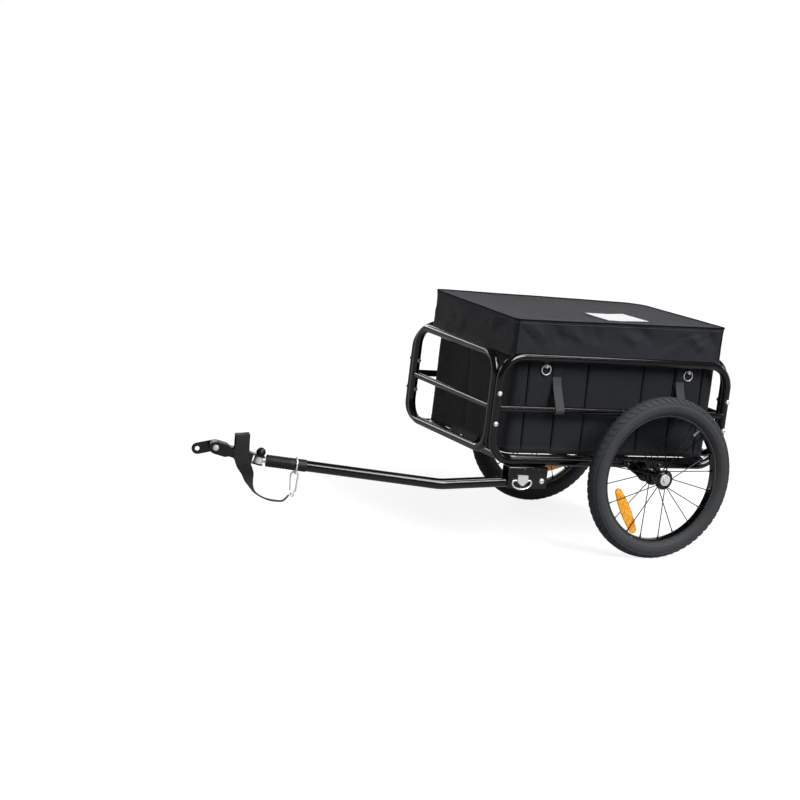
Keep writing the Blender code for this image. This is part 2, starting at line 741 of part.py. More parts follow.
def build_inner_tube(tag, wheel, upright, valve_line, bed):
    """The inner tube in the tyre's hollow, with its valve stem out through the rim."""
    section = TYRE_WIDTH / 2
    middle = TYRE_RADIUS - section
    corner = math.cos(math.pi / TUBE_FACETS)
    radius = (section - TYRE_WALL) * math.cos(math.radians(TYRE_LINING_STEP / 2)) - GAP
    circle = [(middle + radius * math.cos(-a), radius * math.sin(-a)) for a in full_turn(TUBE_FACETS)]
    ring = moved(turned(circle, WHEEL_STEPS, ring=True), upright)
    root = middle - radius * corner / 2
    stem = rod_mesh(valve_line * (bed - VALVE_LENGTH), valve_line * root, VALVE_RADIUS, 10)
    place(cut(ring, [stem], "UNION"), "inner_tube_" + tag, RUBBER, wheel)


def build_hub(side, tag, wheel, upright, bed):
    """The hub shell with its two flanges and the twenty spokes laced to it, and a bearing in each end."""
    top = HUB_OUTBOARD
    bottom = HUB_OUTBOARD - HUB_LENGTH
    bore = BEARING_RADIUS + GAP
    upper = top - HUB_FLANGE_INSET
    lower = bottom + 2 * HUB_FLANGE_INSET
    profile = [(bore, top), (HUB_SHELL_RADIUS + HUB_LIP, top), (HUB_FLANGE_RADIUS, upper),
               (HUB_FLANGE_RADIUS, upper - HUB_FLANGE_THICKNESS),
               (HUB_SHELL_RADIUS, upper - HUB_FLANGE_THICKNESS),
               (HUB_SHELL_RADIUS, lower + HUB_FLANGE_THICKNESS),
               (HUB_FLANGE_RADIUS, lower + HUB_FLANGE_THICKNESS), (HUB_FLANGE_RADIUS, lower),
               (HUB_SHELL_RADIUS, lower), (HUB_SHELL_RADIUS - EDGE_BREAK, bottom), (bore, bottom)]
    shell = moved(turned(profile, HUB_STEPS, ring=True), upright)
    spokes = [rod_mesh(start, end, SPOKE_RADIUS, 5) for start, end in spoke_runs(side, bed)]
    place(cut(shell, [group(spokes)], "UNION"), "spoked_hub_" + tag, BLACK_PAINT, wheel)
    race = pipe(AXLE_RADIUS + RUNNING_GAP, BEARING_RADIUS, 0.0, BEARING_WIDTH, HUB_STEPS)
    for start, name in ((top - BEARING_INSET - BEARING_WIDTH, "outer_bearing_"),
                        (bottom + BEARING_INSET, "inner_bearing_")):
        place(moved(race, upright @ Matrix.Translation((0, 0, start))), name + tag, ZINC, wheel)


def spoke_runs(side, bed):
    """Start and end of each spoke: flanges take turns, and so do the two leans on each flange."""
    upper = HUB_OUTBOARD - HUB_FLANGE_INSET - HUB_FLANGE_THICKNESS / 2
    lower = HUB_OUTBOARD - HUB_LENGTH + 2 * HUB_FLANGE_INSET + HUB_FLANGE_THICKNESS / 2
    beside = HUB_FLANGE_THICKNESS / 2 + SPOKE_RADIUS - SPOKE_BITE
    facet = 2 * math.pi / WHEEL_STEPS
    runs = []
    for k in range(SPOKE_COUNT):
        rim_angle = SPOKE_PHASE + 2 * math.pi * k / SPOKE_COUNT
        outboard = k % 2 == 1
        lean = 1 if (k // 2) % 2 == 0 else -1
        hub_angle = rim_angle + lean * SPOKE_LACING
        y_hub = (upper if outboard else lower) + lean * beside
        y_rim = SPOKE_STAGGER if outboard else -SPOKE_STAGGER
        off_middle = abs(rim_angle % facet - facet / 2)
        end = bed * math.cos(facet / 2) / math.cos(off_middle) - SPOKE_TIP_GAP
        head = Vector((SPOKE_CIRCLE * math.cos(hub_angle), side * y_hub, SPOKE_CIRCLE * math.sin(hub_angle)))
        runs.append((head, Vector((end * math.cos(rim_angle), side * y_rim, end * math.sin(rim_angle)))))
    return runs


def build_reflector(tag, wheel, bed):
    """A lozenge reflector with round ends, set aslant between the two planes of spokes."""
    half = REFLECTOR_LENGTH / 2
    radius = REFLECTOR_WIDTH / 2
    outline = arc(half - radius * 0.6, 0.0, radius * 0.62, -80, 80, 5)
    outline += [(0.0, radius)]
    outline += arc(-half + radius * 0.6, 0.0, radius * 0.62, 100, 260, 5)
    outline += [(0.0, -radius)]
    mesh = flat_mesh(outline, REFLECTOR_THICKNESS)
    mesh.transform(Matrix.Rotation(RIGHT_ANGLE, 4, "X"))
    mesh.transform(Matrix.Rotation(RIGHT_ANGLE, 4, "Y"))
    mesh.transform(Matrix.Rotation(-REFLECTOR_TILT, 4, "Y"))
    mesh.transform(Matrix.Translation((bed - REFLECTOR_INSET, 0, 0)))
    mesh.transform(Matrix.Rotation(-REFLECTOR_ANGLES[tag], 4, "Y"))
    place(mesh, "reflector_" + tag, AMBER, wheel)


def build_axle(side, tag, axle, upright):
    """The quick-release axle with its round head, and the button in it."""
    head_low = HUB_OUTBOARD + RUNNING_GAP
    head_high = head_low + AXLE_HEAD_THICKNESS
    tip = SLEEVE_START - WHEEL_Y + AXLE_PAST_SLEEVE
    recess = BUTTON_RADIUS + RUNNING_GAP
    floor = head_low + HEAD_WEB
    profile = [(0.0, floor), (recess, floor), (recess, head_high), (AXLE_HEAD_RADIUS - EDGE_BREAK, head_high),
               (AXLE_HEAD_RADIUS, head_high - EDGE_BREAK), (AXLE_HEAD_RADIUS, head_low),
               (AXLE_RADIUS, head_low), (AXLE_RADIUS, tip), (0.0, tip)]
    place(moved(turned(profile, HUB_STEPS), upright), "axle_" + tag, ZINC, axle)
    button = empty("button_" + tag + "_slide", axle)
    low = floor + BUTTON_TRAVEL + GAP
    knob = disc(BUTTON_RADIUS, low, head_high + BUTTON_STAND, HUB_STEPS, BUTTON_EDGE)
    place(moved(knob, upright), "release_button_" + tag, ZINC, button)


def build_bracket():
    """The U bracket under the left side tube, its cross bolts and the drawbar's pivot bolt."""
    half = DRAWBAR_RADIUS + BRACKET_PLAY
    top = LOOP_BOTTOM - TUBE_RADIUS - GAP
    y = SIDE_LOOP_Y
    outer = box_mesh((BRACKET_REAR, y - half - BRACKET_WALL, BRACKET_BOTTOM),
                     (BRACKET_FRONT, y + half + BRACKET_WALL, top))
    slot = box_mesh((BRACKET_REAR - CUT_PAST, y - half, BRACKET_BOTTOM - CUT_PAST),
                    (BRACKET_FRONT + CUT_PAST, y + half, top - BRACKET_WALL))
    reach = half + 2 * BRACKET_WALL
    cutters = [slot, through_hole(PIVOT_X, y, PIVOT_Z, reach, PIVOT_RADIUS)]
    cutters.append(through_hole(LOCK_PIN_X, y, LOCK_PIN_Z, reach, LOCK_PIN_RADIUS))
    wall_face = half + BRACKET_WALL
    rivet = disc(RIVET_HEAD_RADIUS, -SEAM_BITE, RIVET_HEAD_HEIGHT, 8)
    rivet_z = LOOP_BOTTOM - RIVET_DROP
    rivets = [moved(rivet, along((0, side, 0), (BRACKET_REAR + inset, y + side * wall_face, rivet_z)))
              for inset in RIVET_INSETS for side in (1, -1)]
    place(cut(cut(outer, cutters), rivets, "UNION"), "drawbar_bracket", BLACK_PAINT)
    face = wall_face + GAP
    bolt = dome_bolt(2 * face + PIVOT_NUT_HEIGHT, PIVOT_RADIUS, PIVOT_HEAD_RADIUS, BOLT_HEAD_HEIGHT, 14)
    bolt.transform(along((0, 1, 0), (PIVOT_X, y + face, PIVOT_Z)))
    nut = disc(PIVOT_NUT_RADIUS, -PIVOT_NUT_HEIGHT + BOLT_TIP, 0.0, 6)
    nut.transform(along((0, 1, 0), (PIVOT_X, y - face, PIVOT_Z)))
    place(cut(bolt, [nut], "UNION"), "pivot_bolt", ZINC)


def bend_points(start, corner, end, radius, count):
    """A polyline from start to end whose corner is an arc of a radius."""
    start, corner, end = Vector(start), Vector(corner), Vector(end)
    back = (start - corner).normalized()
    ahead = (end - corner).normalized()
    half = back.angle(ahead) / 2
    trim = radius / math.tan(half)
    centre = corner + (back + ahead).normalized() * (radius / math.sin(half))
    first = corner + back * trim - centre
    last = corner + ahead * trim - centre
    turn = first.angle(last)
    axis = first.cross(last).normalized()
    points = [start]
    for i in range(count):
        points.append(centre + Matrix.Rotation(turn * i / (count - 1), 4, axis) @ first)
    points.append(end)
    return points


def front_part_matrix():
    """The frame of the drawbar's front part: its X runs forward along the tube, from the bend."""
    bend = Vector((DRAWBAR_BEND_X, SIDE_LOOP_Y, DRAWBAR_BEND_Z))
    return (Matrix.Translation(bend) @ Matrix.Rotation(-DRAWBAR_SWEEP, 4, "Z")
            @ Matrix.Rotation(-DRAWBAR_RISE, 4, "Y"))


def build_drawbar():
    """The bent drawbar on its pivot, with the rubber sleeve and the steel tongue in its front end."""
    pivot_place = Matrix.Translation((PIVOT_X, SIDE_LOOP_Y, PIVOT_Z))
    pivot = empty("drawbar_pivot", None, pivot_place)
    to_pivot = pivot_place.inverted()
    front = front_part_matrix()
    bend = Vector((DRAWBAR_BEND_X, SIDE_LOOP_Y, DRAWBAR_BEND_Z))
    hinge = Vector((PIVOT_X, SIDE_LOOP_Y, PIVOT_Z))
    tail = hinge - (bend - hinge).normalized() * DRAWBAR_TAIL
    tip = front @ Vector((DRAWBAR_REACH, 0, 0))
    bar = tube_mesh(bend_points(tail, bend, tip, DRAWBAR_BEND_RADIUS, 6), DRAWBAR_RADIUS, resolution=5)
    hole = through_hole(PIVOT_X, SIDE_LOOP_Y, PIVOT_Z, 2 * DRAWBAR_RADIUS, PIVOT_RADIUS)
    place(moved(cut(bar, [hole]), to_pivot), "drawbar", BLACK_PAINT, pivot)
    ahead = empty("drawbar_front_part", pivot, to_pivot @ front)
    forward = along((1, 0, 0), (0, 0, 0))
    bore = DRAWBAR_RADIUS + GAP
    socket = TONGUE_RADIUS + GAP
    wall = DRAWBAR_REACH + GAP
    sleeve = turned([(socket, SLEEVE_TO), (SLEEVE_OUTER - EDGE_BREAK, SLEEVE_TO),
                     (SLEEVE_OUTER, SLEEVE_TO - EDGE_BREAK), (SLEEVE_OUTER, SLEEVE_FROM + SLEEVE_LIP_LENGTH),
                     (SLEEVE_OUTER - SLEEVE_LIP, SLEEVE_FROM), (bore, SLEEVE_FROM), (bore, wall),
                     (socket, wall)], HUB_STEPS, ring=True)
    place(moved(sleeve, forward), "drawbar_sleeve", RUBBER, ahead)
    build_tongue(ahead)
    build_strap_ring(ahead)
    return ahead


def hitch_matrix():
    """The hitch's frame on the drawbar's front part: its X runs forward, tipped up at the pin."""
    return Matrix.Translation((HITCH_PIN_PLACE, 0, 0)) @ Matrix.Rotation(-HITCH_PITCH, 4, "Y")


def build_tongue(ahead):
    """The steel tongue: a stem in the sleeve and an eye for the hitch pin."""
    stem = rod_mesh((SLEEVE_TO - TONGUE_SOCKET, 0, 0), (HITCH_PIN_PLACE - TONGUE_BITE, 0, 0), TONGUE_RADIUS, 16)
    eye = disc(EYE_RADIUS, -EYE_HEIGHT / 2, EYE_HEIGHT / 2, HUB_STEPS, EDGE_BREAK)
    eye.transform(hitch_matrix())
    joined = cut(stem, [eye], "UNION")
    hole = disc(HITCH_PIN_RADIUS + HOLE_CLEARANCE, -EYE_HEIGHT, EYE_HEIGHT, 16)
    hole.transform(hitch_matrix())
    place(cut(joined, [hole]), "hitch_tongue", ZINC, ahead)


def build_yoke(ahead):
    """The yoke round the tongue's eye, with the stud for the coupler, and the hitch pin with its knob."""
    yoke = empty("yoke_axis", ahead, hitch_matrix())
    half = EYE_HEIGHT / 2 + RUNNING_GAP
    high = half + YOKE_PLATE
    low = -high
    round_end = YOKE_WIDTH / 2
    nose = YOKE_NOSE_HEIGHT / 2
    side_outline = [(-2 * round_end, low), (YOKE_FORK, low), (YOKE_LENGTH, -nose), (YOKE_LENGTH, nose),
                    (YOKE_FORK + YOKE_TAPER, nose + YOKE_TAPER_RISE), (YOKE_FORK, high), (-2 * round_end, high)]
    body = flat_mesh(side_outline, YOKE_WIDTH + 2 * YOKE_CHEEK)
    body.transform(Matrix.Rotation(RIGHT_ANGLE, 4, "X"))
    plan_outline = arc(0.0, 0.0, round_end, 90, 270, 9)
    plan_outline += [(YOKE_LENGTH + CUT_PAST, -round_end), (YOKE_LENGTH + CUT_PAST, round_end)]
    plan = flat_mesh(plan_outline, 4 * YOKE_WIDTH)
    stud = rod_mesh((YOKE_LENGTH - STUD_BITE, 0, 0), (YOKE_LENGTH + STUD_LENGTH, 0, 0), STUD_RADIUS, 16)
    slot = box_mesh((-YOKE_WIDTH, -YOKE_WIDTH, -half), (YOKE_FORK - EDGE_BREAK, YOKE_WIDTH, half))
    hole = disc(HITCH_PIN_RADIUS + HOLE_CLEARANCE, low - CUT_PAST, high + CUT_PAST, 16)
    mesh = cut(cut(cut(body, [plan], "INTERSECT"), [stud], "UNION"), [slot, hole])
    place(mesh, "hitch_yoke", BLACK_PAINT, yoke)
    pin = empty("hitch_pin_slide", yoke)
    bottom = low - PIN_PAST_YOKE
    base = high + GAP
    ball = []
    for angle in range(90, -31, -20):
        turn = math.radians(angle)
        ball.append((KNOB_RADIUS * math.cos(turn), base + KNOB_RISE + KNOB_RADIUS * math.sin(turn)))
    ball[0] = (0.0, ball[0][1])
    profile = ball + [(KNOB_NECK, base), (HITCH_PIN_RADIUS, base), (HITCH_PIN_RADIUS, bottom), (0.0, bottom)]
    place(turned(profile, 14), "hitch_pin", BLACK_PLASTIC, pin)
    build_strap_loop(yoke, low)
    build_coupler(yoke)


def build_coupler(yoke):
    """The coupler that turns on the yoke's stud, and the plate on it that bolts to a bike's rear axle."""
    coupler = empty("coupler_axis", yoke)
    start = YOKE_LENGTH + RUNNING_GAP
    end = start + COUPLER_LENGTH
    radius = COUPLER_HEIGHT / 2
    outline = [(start, -YOKE_NOSE_HEIGHT / 2), (start + COUPLER_SHOULDERS[0], -radius)]
    outline += arc(end - radius, 0.0, radius, -90, 90, 9)
    outline += [(start + COUPLER_SHOULDERS[1], radius), (start, YOKE_NOSE_HEIGHT / 2)]
    body = flat_mesh(outline, COUPLER_WIDTH)
    body.transform(Matrix.Rotation(RIGHT_ANGLE, 4, "X"))
    stud_hole = rod_mesh((start - CUT_PAST, 0, 0), (YOKE_LENGTH + STUD_LENGTH + RUNNING_GAP, 0, 0),
                         STUD_RADIUS + RUNNING_GAP, 16)
    centre = end - radius
    bolt_hole = through_hole(centre, 0, 0, COUPLER_WIDTH, HITCH_PIN_RADIUS)
    place(cut(body, [stud_hole, bolt_hole]), "coupler_body", BLACK_PLASTIC, coupler)
    plate_axis = empty("mounting_plate_axis", coupler,
                       Matrix.Translation((centre, 0, 0)) @ Matrix.Rotation(MOUNT_PLATE_TILT, 4, "Y"))
    face = COUPLER_WIDTH / 2 + RUNNING_GAP
    high = MOUNT_PLATE_HEIGHT / 2
    reach = MOUNT_PLATE_LENGTH - MOUNT_PLATE_HEIGHT
    rounded = arc(0.0, 0.0, high, 90, 270, 9) + arc(reach, 0.0, high, -90, 90, 9)
    plate = flat_mesh(rounded, MOUNT_PLATE_THICKNESS, [(0.0, 0.0, HITCH_PIN_RADIUS + RUNNING_GAP),
                                                       (reach, 0.0, MOUNT_HOLE_RADIUS)])
    plate.transform(Matrix.Rotation(RIGHT_ANGLE, 4, "X"))
    plate.transform(Matrix.Translation((0, -face - MOUNT_PLATE_THICKNESS / 2, 0)))
    place(plate, "mounting_plate", BLACK_PAINT, plate_axis)
    seat = COUPLER_WIDTH / 2 + GAP
    back = face + MOUNT_PLATE_THICKNESS + RUNNING_GAP
    bolt = dome_bolt(seat + back + PIVOT_NUT_HEIGHT, HITCH_PIN_RADIUS, PIVOT_NUT_RADIUS,
                     COUPLER_BOLT_HEAD, 14)
    bolt.transform(along((0, 1, 0), (centre, seat, 0)))
    nut = disc(PIVOT_NUT_RADIUS, -PIVOT_NUT_HEIGHT + BOLT_TIP, 0.0, 6)
    nut.transform(along((0, 1, 0), (centre, -back, 0)))
    place(cut(bolt, [nut], "UNION"), "coupler_bolt", ZINC, coupler)


def build_strap_loop(yoke, low):
    """The safety strap's loop, which stands round the yoke with room for a bike's stay over it."""
    half = YOKE_WIDTH / 2 + STRAP_PLAY + STRAP_THICKNESS / 2
    bottom = low - STRAP_PLAY - STRAP_THICKNESS / 2
    outline = rounded_rectangle(-half, half, bottom, STRAP_TOP, STRAP_CORNER, 3)
    stations = [((STRAP_PLACE, y, z), (STRAP_WIDTH, 0, 0)) for y, z in outline]
    place(strip_mesh(stations, STRAP_THICKNESS, cyclic=True), "safety_strap_loop", WEBBING, yoke)


STRAP_TAIL_ROUTE = (
    ((0.0305, -0.0225), (1.00, 0.00), 0.032),
    ((0.0287, -0.0320), (1.00, 0.00), 0.029),
    ((0.0240, -0.0430), (0.95, 0.30), 0.026),
    ((0.0173, -0.0545), (0.75, 0.66), 0.024),
    ((0.0085, -0.0665), (0.45, 0.89), 0.024),
    ((-0.0035, -0.0780), (0.20, 0.98), 0.023),
    ((-0.0195, -0.0868), (0.00, 1.00), 0.022),
    ((-0.0375, -0.0915), (0.00, 1.00), 0.022),
    ((-0.0555, -0.0922), (0.00, 1.00), 0.020),
    ((-0.0725, -0.0895), (0.00, 1.00), 0.017),
)


def build_strap_ring(ahead):
    """The wire ring that hangs round the sleeve, the snap hook on it and the strap's tail from the hook."""
    x = STRAP_RING_PLACE
    centre_z = SLEEVE_OUTER + GAP + STRAP_RING_WIRE - STRAP_RING_RADIUS
    circle = [(x, STRAP_RING_RADIUS * math.cos(a), centre_z + STRAP_RING_RADIUS * math.sin(a))
              for a in full_turn(16)]
    place(tube_mesh(circle, STRAP_RING_WIRE, cyclic=True, resolution=1), "strap_ring", ZINC, ahead)
    top = centre_z - STRAP_RING_RADIUS + STRAP_RING_WIRE + GAP + HOOK_WIRE
    low = top - HOOK_LENGTH
    half = HOOK_WIDTH / 2
    nose = top - half - HOOK_NOSE
    bow = [(x + 0.55 * half, low + HOOK_FOOT), (x - 0.2 * half, low)]
    bow += arc(x - 0.2 * half, low + 0.8 * half, 0.8 * half, 240, 180, 4)
    bow += arc(x, top - half, half, 180, 0, 9)
    bow += [(x + half, nose)]
    hook = tube_mesh([(px, 0.0, pz) for px, pz in bow], HOOK_WIRE, resolution=2)
    eye_x = x - 0.2 * half
    eye_z = low - HOOK_EYE_RADIUS
    turn = along((0, 1, 0), (eye_x, 0, eye_z))
    eye = disc(HOOK_EYE_RADIUS, -HOOK_EYE_WIDTH / 2, HOOK_EYE_WIDTH / 2, 14)
    bore = disc(HOOK_EYE_BORE, -HOOK_EYE_WIDTH, HOOK_EYE_WIDTH, 12)
    mesh = cut(cut(hook, [moved(eye, turn)], "UNION"), [moved(bore, turn)])
    place(mesh, "snap_hook", ZINC, ahead)
    foot = Vector((x + 0.55 * half, 0, low + HOOK_FOOT + HOOK_WIRE + GATE_PLAY))
    gate_axis = empty("gate_axis", ahead, Matrix.Translation(foot))
    gate_top = Vector((x + half, 0, nose - GAP)) - foot
    place(rod_mesh((0, 0, 0), gate_top, HOOK_WIRE * 0.8, 8), "snap_hook_gate", ZINC, gate_axis)
    end = (eye_x + HOOK_EYE_RADIUS + GAP + STRAP_THICKNESS / 2, eye_z)
    route = [((HITCH_PIN_PLACE + s, z), across, width) for (s, z), across, width in STRAP_TAIL_ROUTE]
    route.append((end, (0.00, 1.00), 0.014))
    stations = [((s, 0.0, z), Vector((ax, ay, 0.0)).normalized() * width) for (s, z), (ax, ay), width in route]
    place(strip_mesh(stations, STRAP_THICKNESS), "safety_strap_tail", WEBBING, ahead)


def build_lock_pin():
    """The lock pin in the bracket's outer wall, with the wire ring that flips on its head."""
    wall_face = SIDE_LOOP_Y + DRAWBAR_RADIUS + BRACKET_PLAY + BRACKET_WALL
    head_back = wall_face + GAP
    middle = head_back + LOCK_HEAD_THICKNESS / 2
    slide = empty("lock_pin_slide", None, Matrix.Translation((LOCK_PIN_X, middle, LOCK_PIN_Z)))
    half = LOCK_HEAD_WIDTH / 2
    rise = LOCK_HEAD_HEIGHT / 2
    outline = [(-half, rise), (-half, -rise * 0.2), (-0.2 * half, -rise), (0.2 * half, -rise),
               (half, -rise * 0.2), (half, rise)]
    head = flat_mesh(outline, LOCK_HEAD_THICKNESS)
    head.transform(Matrix.Rotation(RIGHT_ANGLE, 4, "X"))
    tip = SIDE_LOOP_Y + DRAWBAR_RADIUS + GAP - middle
    shank = rod_mesh((0, -LOCK_HEAD_THICKNESS / 2 + LOCK_PIN_BITE, 0), (0, tip, 0), LOCK_PIN_RADIUS, 16)
    bore = RING_WIRE + RUNNING_GAP
    depth = LOCK_SOCKET_DEPTH
    sockets = [rod_mesh((side * (half - depth), 0, 0), (side * (half + CUT_PAST), 0, 0), bore, HOLE_STEPS)
               for side in (-1, 1)]
    place(cut(cut(head, [shank], "UNION"), sockets), "lock_pin", ZINC, slide)
    flip = empty("flip_ring_axis", slide)
    turn = RING_BEND
    path = [(half - depth + RUNNING_GAP, 0.0)]
    path += [(RING_HALF_WIDTH - turn, 0.0)]
    path += arc(RING_HALF_WIDTH - turn, -turn, turn, 70, 0, 4)
    for angle in range(20, 161, 20):
        a = math.radians(angle)
        path.append((RING_HALF_WIDTH * math.cos(a), -turn - (RING_DROP - turn) * math.sin(a)))
    path += arc(-RING_HALF_WIDTH + turn, -turn, turn, 180, 110, 4)
    path += [(-RING_HALF_WIDTH + turn, 0.0)]
    path += [(-half + depth - RUNNING_GAP, 0.0)]
    ring = tube_mesh([(px, 0.0, pz) for px, pz in path], RING_WIRE, resolution=2)
    place(ring, "flip_ring", ZINC, flip)


def open_box_mesh(low, high, wall, corner, bevel_top=0.0, upside_down=False, sag=0.0):
    """A box with round upright corners and one open side, its wall laid inwards."""
    bm = bmesh.new()
    outline = rounded_rectangle(low[0], high[0], low[1], high[1], corner, 5)
    shut, rim = (high[2], low[2]) if upside_down else (low[2], high[2])
    levels = [(rim, 0.0)]
    for share in (1.0, 0.3, 0.0) if bevel_top else (0.0,):
        levels.append((shut - math.copysign(bevel_top * share, shut - rim), (1.0 - share) * bevel_top))
    rings = []
    for z, shrink in levels:
        ring = []
        for x, y in rounded_rectangle(low[0] + shrink, high[0] - shrink, low[1] + shrink, high[1] - shrink,
                                      corner - shrink * 0.6, 5):
            ring.append(bm.verts.new((x, y, z)))
        rings.append(ring)
    count = len(outline)
    for a, b in zip(rings, rings[1:]):
        for i in range(count):
            bm.faces.new((a[i], a[(i + 1) % count], b[(i + 1) % count], b[i]))
    bm.faces.new(rings[-1])
    if sag > 0.0:
        centre = (low[0] + high[0]) / 2
        half_x = (high[0] - low[0]) / 2
        for k in range(-4, 5):
            x = centre + half_x * k / 5
            bmesh.ops.bisect_plane(bm, geom=bm.verts[:] + bm.edges[:] + bm.faces[:], plane_co=(x, 0, 0),
                                   plane_no=(1, 0, 0), dist=0.00001)
        for vert in bm.verts:
            height = (vert.co.z - rim) / (shut - rim)
            if height > 0.5:
                vert.co.z -= sag * (1 - ((vert.co.x - centre) / half_x) ** 2)
    bmesh.ops.recalc_face_normals(bm, faces=bm.faces)
    mesh = bpy.data.meshes.new("shell")
    bm.to_mesh(mesh)
    bm.free()
    guide = bpy.data.objects.new("shell", mesh)
    CUTTERS.objects.link(guide)
    solid = guide.modifiers.new("wall", "SOLIDIFY")
    solid.thickness = wall
    solid.offset = 1.0 if normals_point_in(mesh) else -1.0
    solid.use_even_offset = True
    made = evaluated_mesh(guide)
    bpy.data.objects.remove(guide, do_unlink=True)
    bm = bmesh.new()
    bm.from_mesh(made)
    return mesh_from(bm)


def normals_point_in(mesh):
    """True where the shell's side faces look towards its middle."""
    centre = sum((v.co for v in mesh.vertices), Vector()) / len(mesh.vertices)
    score = sum(face.area * face.normal.dot(face.center - centre) for face in mesh.polygons)
    return score < 0.0


def build_box():
    """The fabric box on the floor frame, with its webbing and flap sewn on, and the fitted cover over it."""
    bottom = FLOOR_Z + TUBE_RADIUS + GAP
    shell = open_box_mesh((BOX_REAR, -BOX_HALF_WIDTH, bottom), (BOX_FRONT, BOX_HALF_WIDTH, BOX_TOP),
                          BOX_WALL, BOX_CORNER)
    sewn = webbing_meshes() + flap_meshes()
    place(cut(shell, sewn, "UNION"), "fabric_box", FABRIC)
    half = BOX_HALF_WIDTH + COVER_PLAY
    cover_mesh = open_box_mesh((BOX_REAR - COVER_BEHIND, -half, LOOP_TOP - COVER_DROP),
                               (BOX_FRONT + COVER_AHEAD, half, COVER_TOP),
                               COVER_WALL, COVER_CORNER, bevel_top=COVER_EDGE, upside_down=True, sag=COVER_SAG)
    lift = empty("cover_lift")
    place(cover_mesh, "cover", FABRIC, lift)


def build_studs_and_rings():
    """Round studs on the box's sides, each with a D-ring hung on it."""
    base = BOX_HALF_WIDTH + GAP
    face = STUD_BASE_THICKNESS
    post = face + STUD_POST_LENGTH
    head = post + STUD_HEAD_HEIGHT
    profile = [(0.0, head), (STUD_HEAD_RADIUS * 0.6, head - 0.0004), (STUD_HEAD_RADIUS, post + 0.0006),
               (STUD_HEAD_RADIUS, post), (STUD_POST_RADIUS, post), (STUD_POST_RADIUS, face),
               (STUD_HEAD_RADIUS, face), (STUD_HEAD_RADIUS, 0.0), (0.0, 0.0)]
    stud = turned(profile, 10)
    hinge_z = STUD_Z + STUD_POST_RADIUS + GAP + D_RING_WIRE
    circle = [(D_RING_RADIUS * math.cos(a), 0.0, D_RING_RADIUS * (math.sin(a) - 1)) for a in full_turn(12)]
    ring = tube_mesh(circle, D_RING_WIRE, cyclic=True, resolution=1)
    for side, side_name in ((1, "left"), (-1, "right")):
        for x, end_name in zip(STUD_PLACES, ("front", "rear")):
            name = side_name + "_" + end_name
            place(stud.copy(), "ring_stud_" + name, ZINC, matrix=along((0, side, 0), (x, side * base, STUD_Z)))
            y = side * (base + face + STUD_POST_LENGTH / 2)
            hinge = empty("d_ring_" + name + "_axis", None, Matrix.Translation((x, y, hinge_z)))
            place(ring.copy(), "d_ring_" + name, ZINC, hinge)


def webbing_meshes():
    """Four webbing loops, sewn to the box's sides at both ends and passed round the mid bars."""
    skin = BOX_HALF_WIDTH + WEBBING_THICKNESS / 2 - SEAM_BITE
    radius = SIDE_MID_RADIUS + GAP + WEBBING_THICKNESS / 2
    top = LOOP_TOP - WEBBING_DROP
    path = [(skin, top), (skin, top - WEBBING_HEM)]
    path += [(SIDE_LOOP_Y + px, MID_BAR_Z + pz) for px, pz in arc(0.0, 0.0, radius, 25, -155, 10)]
    path += [(skin, MID_BAR_Z + WEBBING_FOOT), (skin, MID_BAR_Z + WEBBING_FOOT + WEBBING_HEM)]
    return [strip_mesh([((x, side * y, z), (WEBBING_WIDTH, 0, 0)) for y, z in path], WEBBING_THICKNESS)
            for side in (1, -1) for x in WEBBING_PLACES]


def flap_meshes():
    """The flap sewn low on the box's front that laps over the floor frame's front tube, with its press stud."""
    radius = TUBE_RADIUS + GAP + FLAP_THICKNESS / 2
    skin = BOX_FRONT + FLAP_THICKNESS / 2 - SEAM_BITE
    top = FLOOR_Z + FLAP_RISE
    path = [(skin, top), (skin, top - FLAP_HEM)]
    path += [(FLOOR_FRONT + px, FLOOR_Z + pz) for px, pz in arc(0.0, 0.0, radius, FLAP_LAY, FLAP_TUCK, 11)]
    flap = strip_mesh([((x, 0.0, z), (0, FLAP_WIDTH, 0)) for x, z in path], FLAP_THICKNESS)
    root = SEAM_BITE / 2 - FLAP_THICKNESS / 2
    stud = disc(FLAP_STUD_RADIUS, root, FLAP_THICKNESS / 2 + FLAP_STUD_HEIGHT, 12, FLAP_STUD_HEIGHT / 2)
    lay = math.radians(FLAP_LAY)
    upward = Vector((math.cos(lay), 0, math.sin(lay)))
    stud.transform(along(upward, Vector((FLOOR_FRONT, 0, FLOOR_Z)) + upward * radius))
    return [flap, stud]


def centre_on_origin():
    """Moves the whole trailer along X until the origin lies under the middle of its length."""
    bpy.context.view_layer.update()
    ends = [(obj.matrix_world @ Vector(corner)).x
            for obj in PARTS.objects if obj.type == "MESH"
            for corner in obj.bound_box]
    BASE.location.x -= round((min(ends) + max(ends)) / 2, 4)


def build():
    """Every sub-part of the trailer."""
    build_side_frame(1, "side_frame_left")
    build_side_frame(-1, "side_frame_right")
    build_end_frame(FRONT_LOOP_X, "front_frame")
    build_end_frame(REAR_LOOP_X, "rear_frame")
    build_floor()
    build_corner_bolts()
    build_axle_mounts()
    build_wheel(1, "left")
    build_wheel(-1, "right")
    build_bracket()
    ahead = build_drawbar()
    build_yoke(ahead)
    build_lock_pin()
    build_box()
    build_studs_and_rings()
    centre_on_origin()


build()
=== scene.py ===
import math
import random

import bmesh
import bpy
import numpy as np
from mathutils import Matrix, Vector, noise


